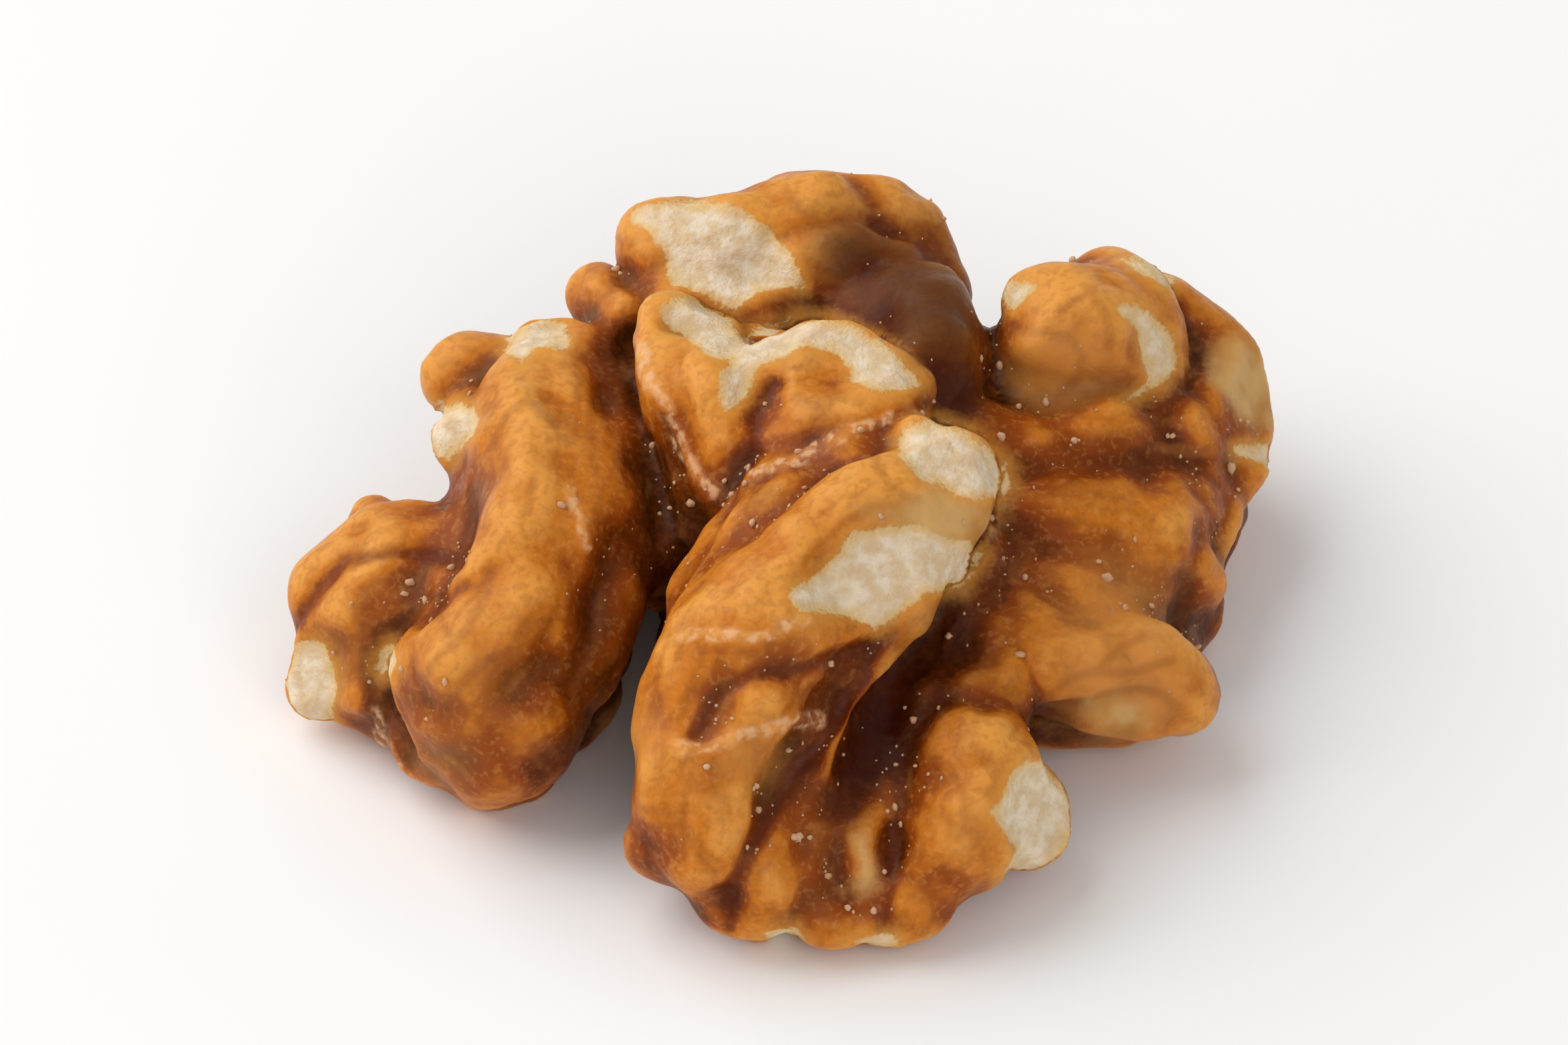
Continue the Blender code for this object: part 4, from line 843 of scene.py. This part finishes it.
def kernel_material():
    """Dried walnut kernel: a thin, brown, slightly oily skin, glossy only softly, that the light goes through, and bare
    flesh that is cream, dry and granular, with a yellow glassy edge. Its browns also carry painted shade in the hollows
    and where the folds shelter the skin from the sky."""
    material, node = new_material("dried_walnut_kernel")
    place = node("TexCoord", output="Object")
    kept = {name: node("Attribute", output="Fac", attribute_name=name) for name in (
        "bare", "waxy", "line", "vein", "pale", "grain", "broad", "hollow", "fine_hollow", "shade", "tone_and_painted_light")}
    # Clouds: their size in millimetres, detail and distortion.
    clouds = {name: node("TexNoise", {"Vector": place, "Scale": 1 / (size * MM), "Detail": detail, "Distortion": bend})
              for name, size, detail, bend in (
                  ("patches", 1.4, 3.0, 0.6), ("dark_freckles", 0.28, 3.0, 0.4), ("light_freckles", 0.22, 2.0, 0.4),
                  ("vein_gaps", 2.0, 2.0, 0.0), ("streak_gaps", 0.35, 4.0, 0.0), ("granules", 0.16, 3.0, 0.0),
                  ("wax", 1.5, 2.0, 0.0), ("flesh", 0.5, 4.0, 0.0), ("oil", 0.7, 3.0, 0.0), ("pores", 0.32, 3.0, 0.0))}

    # How dark the skin is: what adds to it, from which value on, and how much. The hollows and the shelter from the sky
    #     # add painted shade, partly also the skin's darker brown in its hollows; the streaks and clouds add its own
    #     uneven brown.
    depth = 0.0
    for value, middle, amount in ((kept["fine_hollow"], 0.0, 3.0), (kept["hollow"], 0.0, 0.8),
                                  (kept["broad"], 0.5, 0.9), (clouds["patches"], 0.5, 0.36),
                                  (kept["shade"], 0.35, 1.6)):
        past = node("Math", {0: value, 1: middle}, operation="SUBTRACT")
        depth = node("Math", {0: past, 1: amount, 2: depth}, operation="MULTIPLY_ADD")
    # Bare and waxy places have a granular edge.
    granular = node("Math", {0: clouds["granules"], 1: 0.5}, operation="SUBTRACT")
    bare, waxy = (node("Math", {0: granular, 1: 0.3, 2: kept[name]}, operation="MULTIPLY_ADD")
                  for name in ("bare", "waxy"))
    # Fine veins follow the middle contour of a bent cloud.
    bend = node("TexNoise", {"Vector": place, "Scale": 1 / (1.8 * MM), "Detail": 2.0}, output="Color")
    bent = node("VectorMath", {0: bend, 1: (1.2 * MM,) * 3, 2: place}, operation="MULTIPLY_ADD")
    contour = node("TexNoise", {"Vector": bent, "Scale": 1 / (2.2 * MM), "Detail": 1.0})
    off_contour = node("Math", {0: node("Math", {0: contour, 1: 0.5}, operation="SUBTRACT")}, operation="ABSOLUTE")

    # Each share runs softly between two ends: its value, where that starts and where it ends, and the share at each.
    shares = {name: node("MapRange", dict(zip(("Value", "From Min", "From Max", "To Min", "To Max"), ends)),
                         interpolation_type="SMOOTHSTEP")
              for name, *ends in (
                  ("depth", depth, -0.92, 1.08, 0.0, 1.0),
                  ("dark_grain", kept["grain"], 0.5, 0.32, 0.0, 0.3),
                  ("light_grain", kept["grain"], 0.5, 0.68, 0.0, 0.2),
                  ("dark_freckles", clouds["dark_freckles"], 0.42, 0.66, 0.0, 0.26),
                  ("light_freckles", clouds["light_freckles"], 0.5, 0.72, 0.0, 0.24),
                  ("on_light_skin", depth, 0.8, 0.0, 0.2, 1.0),
                  ("light_places", kept["tone_and_painted_light"], 0.0, 1.0, 0.0, 0.75),
                  ("dark_places", kept["tone_and_painted_light"], 0.0, -1.0, 0.0, 0.9),
                  ("fine_veins", off_contour, 0.05, 0.0, 0.0, 1.0),
                  ("vein_gaps", clouds["vein_gaps"], 0.45, 0.62, 0.0, 0.22),
                  ("large_veins", kept["vein"], 0.0, 1.0, 0.0, 0.3),
                  ("lines", kept["line"], 0.0, 1.0, 0.0, 0.5),
                  ("streaks", kept["pale"], 0.15, 0.8, 0.0, 1.0),
                  ("streak_gaps", clouds["streak_gaps"], 0.42, 0.62, 0.08, 0.7),
                  ("amber_edge", bare, -0.55, 0.0, 0.0, 0.6),
                  ("pale_wax", clouds["wax"], 0.35, 0.65, 0.0, 1.0),
                  ("pale_flesh", clouds["flesh"], 0.35, 0.68, 0.0, 1.0),
                  ("granules", clouds["granules"], 0.6, 0.75, 0.0, 0.18),
                  ("glassy_edge", bare, 0.45, 0.0, 0.0, 0.7),
                  ("is_wax", waxy, -0.15, 0.6, 0.0, 0.85),
                  ("is_flesh", bare, -0.06, 0.08, 0.0, 1.0),
                  ("dullness", clouds["oil"], 0.3, 0.7, 0.34, 0.48))}
    for name, other, operation in (("light_freckles", "on_light_skin", "MULTIPLY"),
                                   ("streaks", "streak_gaps", "MULTIPLY"), ("fine_veins", "vein_gaps", "MULTIPLY"),
                                   ("fine_veins", "large_veins", "MAXIMUM")):
        shares[name] = node("Math", {0: shares[name], 1: shares[other]}, operation=operation)

    # The skin's browns, from its high places to its deep ones, darkest where the painted shade is, and then each layer
    # of
    #     # marks over them.
    skin = node("ValToRGB", {"Fac": shares["depth"]})
    ramp = skin.node.color_ramp
    ramp.interpolation = "EASE"
    browns = ((0.0, "#E09A43"), (0.25, "#C8761C"), (0.5, "#934304"), (0.75, "#672A00"), (1.0, "#421900"))
    for i, (at, code) in enumerate(browns):
        stop = ramp.elements[i] if i < 2 else ramp.elements.new(at)
        stop.position = at
        stop.color = colour(code)
    # Among these layers, the lighter and darker places are partly painted light and shade, and the lines partly painted
    # shade in the creases.
    for name, code in (("dark_grain", "#84400F"), ("light_grain", "#D2914C"), ("dark_freckles", "#8A4410"),
                       ("light_freckles", "#DDA05A"), ("light_places", "#D18D42"), ("dark_places", "#3D0F02"),
                       ("fine_veins", "#7C3910"), ("lines", "#6A260C"), ("streaks", "#E2B488"),
                       ("amber_edge", "#D9953C")):
        skin = node("Mix", {0: shares[name], 6: skin, 7: colour(code)}, 2, data_type="RGBA")
    wax = node("Mix", {0: shares["pale_wax"], 6: colour("#BC853E"), 7: colour("#D2AA6C")}, 2, data_type="RGBA")
    flesh = node("Mix", {0: shares["pale_flesh"], 6: colour("#D6BB95"), 7: colour("#E6D5BC")}, 2, data_type="RGBA")
    for name, code in (("granules", "#C9A878"), ("glassy_edge", "#DDB268")):
        flesh = node("Mix", {0: shares[name], 6: flesh, 7: colour(code)}, 2, data_type="RGBA")
    surface = skin
    for name, over in (("is_wax", wax), ("is_flesh", flesh)):
        surface = node("Mix", {0: shares[name], 6: surface, 7: over}, 2, data_type="RGBA")

    roughness = node("Mix", {0: shares["is_flesh"], 2: shares["dullness"], 3: 0.8})
    granules = node("Math", {0: clouds["granules"], 1: shares["is_flesh"]}, operation="MULTIPLY")
    pits = node("Math", {0: granules, 1: 2.2, 2: clouds["pores"]}, operation="MULTIPLY_ADD")
    bump = node("Bump", {"Height": pits, "Strength": 0.5, "Distance": 0.08 * MM})
    shader = node("BsdfPrincipled", {
        "Base Color": surface, "Roughness": roughness, "Normal": bump, "IOR": 1.47, "Specular IOR Level": 0.14,
        "Subsurface Weight": 0.4, "Subsurface Radius": (1.0, 0.38, 0.12), "Subsurface Scale": 0.9 * MM,
    })
    node("OutputMaterial", {"Surface": shader})
    return material


def crumb_material():
    """Crumbs of walnut flesh: cream and dry, so they look matt and a little see-through."""
    material, node = new_material("dry_flesh_crumbs")
    place = node("TexCoord", output="Object")
    cloud = node("TexNoise", {"Vector": place, "Scale": 1 / (1.2 * MM), "Detail": 2.0})
    cream = node("Mix", {0: cloud, 6: colour("#B57C50"), 7: colour("#DDB894")}, 2, data_type="RGBA")
    shader = node("BsdfPrincipled", {"Base Color": cream, "Roughness": 0.7, "IOR": 1.47, "Subsurface Weight": 0.3,
                                     "Subsurface Radius": (1.0, 0.5, 0.25), "Subsurface Scale": 0.3 * MM})
    node("OutputMaterial", {"Surface": shader})
    return material


def floor_material():
    """A sweep of white uncoated paper: matt, so it takes soft shadows and no reflections, and a trace uneven."""
    material, node = new_material("white_paper")
    place = node("TexCoord", output="Object")
    cloud = node("TexNoise", {"Vector": place, "Scale": 1 / (40 * MM), "Detail": 2.0})
    paper = node("Mix", {0: cloud, 6: colour("#F4F4F4"), 7: colour("#F8F8F8")}, 2, data_type="RGBA")
    shader = node("BsdfPrincipled", {"Base Color": paper, "Roughness": 0.9, "Specular IOR Level": 0.1})
    node("OutputMaterial", {"Surface": shader})
    return material


def add_light(name, place, size, watts, tint):
    """A round soft light of this width, turned to the middle of the kernel."""
    lamp = bpy.data.lights.new(name, "AREA")
    lamp.shape = "DISK"
    lamp.size = size
    lamp.energy = watts
    lamp.color = tint
    obj = bpy.data.objects.new(name, lamp)
    obj.location = place
    obj.rotation_euler = (Vector(LIT_PLACE) - Vector(place)).to_track_quat("-Z", "Y").to_euler()
    bpy.context.scene.collection.objects.link(obj)


def add_studio():
    """A white floor under two soft lights, with an even white surround."""
    bpy.ops.mesh.primitive_plane_add(size=6, location=(0, 0, 0))
    floor = bpy.context.object
    floor.name = "floor"
    floor.data.materials.append(floor_material())
    add_light("key_softbox", (-0.36, 0.14, 0.40), 0.70, 2.8, (1.0, 0.985, 0.96))
    add_light("front_fill", (0.18, -0.52, 0.36), 0.50, 1.1, (1.0, 0.99, 0.98))
    world = bpy.data.worlds.new("studio")
    bpy.context.scene.world = world
    world.use_nodes = True
    world.node_tree.nodes["Background"].inputs["Color"].default_value = (1, 1, 1, 1)
    world.node_tree.nodes["Background"].inputs["Strength"].default_value = 0.46
    bpy.context.scene.view_settings.view_transform = "Standard"


def add_camera():
    """A long lens at the photograph's angle, which fits the kernel in about three quarters of the frame's height."""
    low, high = (Vector(corner) for corner in cad_box)
    target = (low + high) / 2
    lens = bpy.data.cameras.new("camera")
    lens.lens = LENS
    lens.clip_start = 0.01
    camera = bpy.data.objects.new("camera", lens)
    away = Vector(TOWARD) * CAMERA_DISTANCE
    camera.location = target + away
    camera.rotation_euler = (-away).to_track_quat("-Z", "Y").to_euler()
    bpy.context.scene.collection.objects.link(camera)
    bpy.context.scene.camera = camera


kernel = make_kernel()
kernel.data.materials.clear()
kernel.data.materials.append(kernel_material())
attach(kernel, "root")
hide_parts("walnut_kernel")
crumbs = make_crumbs(kernel.data)
crumbs.data.materials.append(crumb_material())
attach(crumbs, "root")
add_studio()
add_camera()
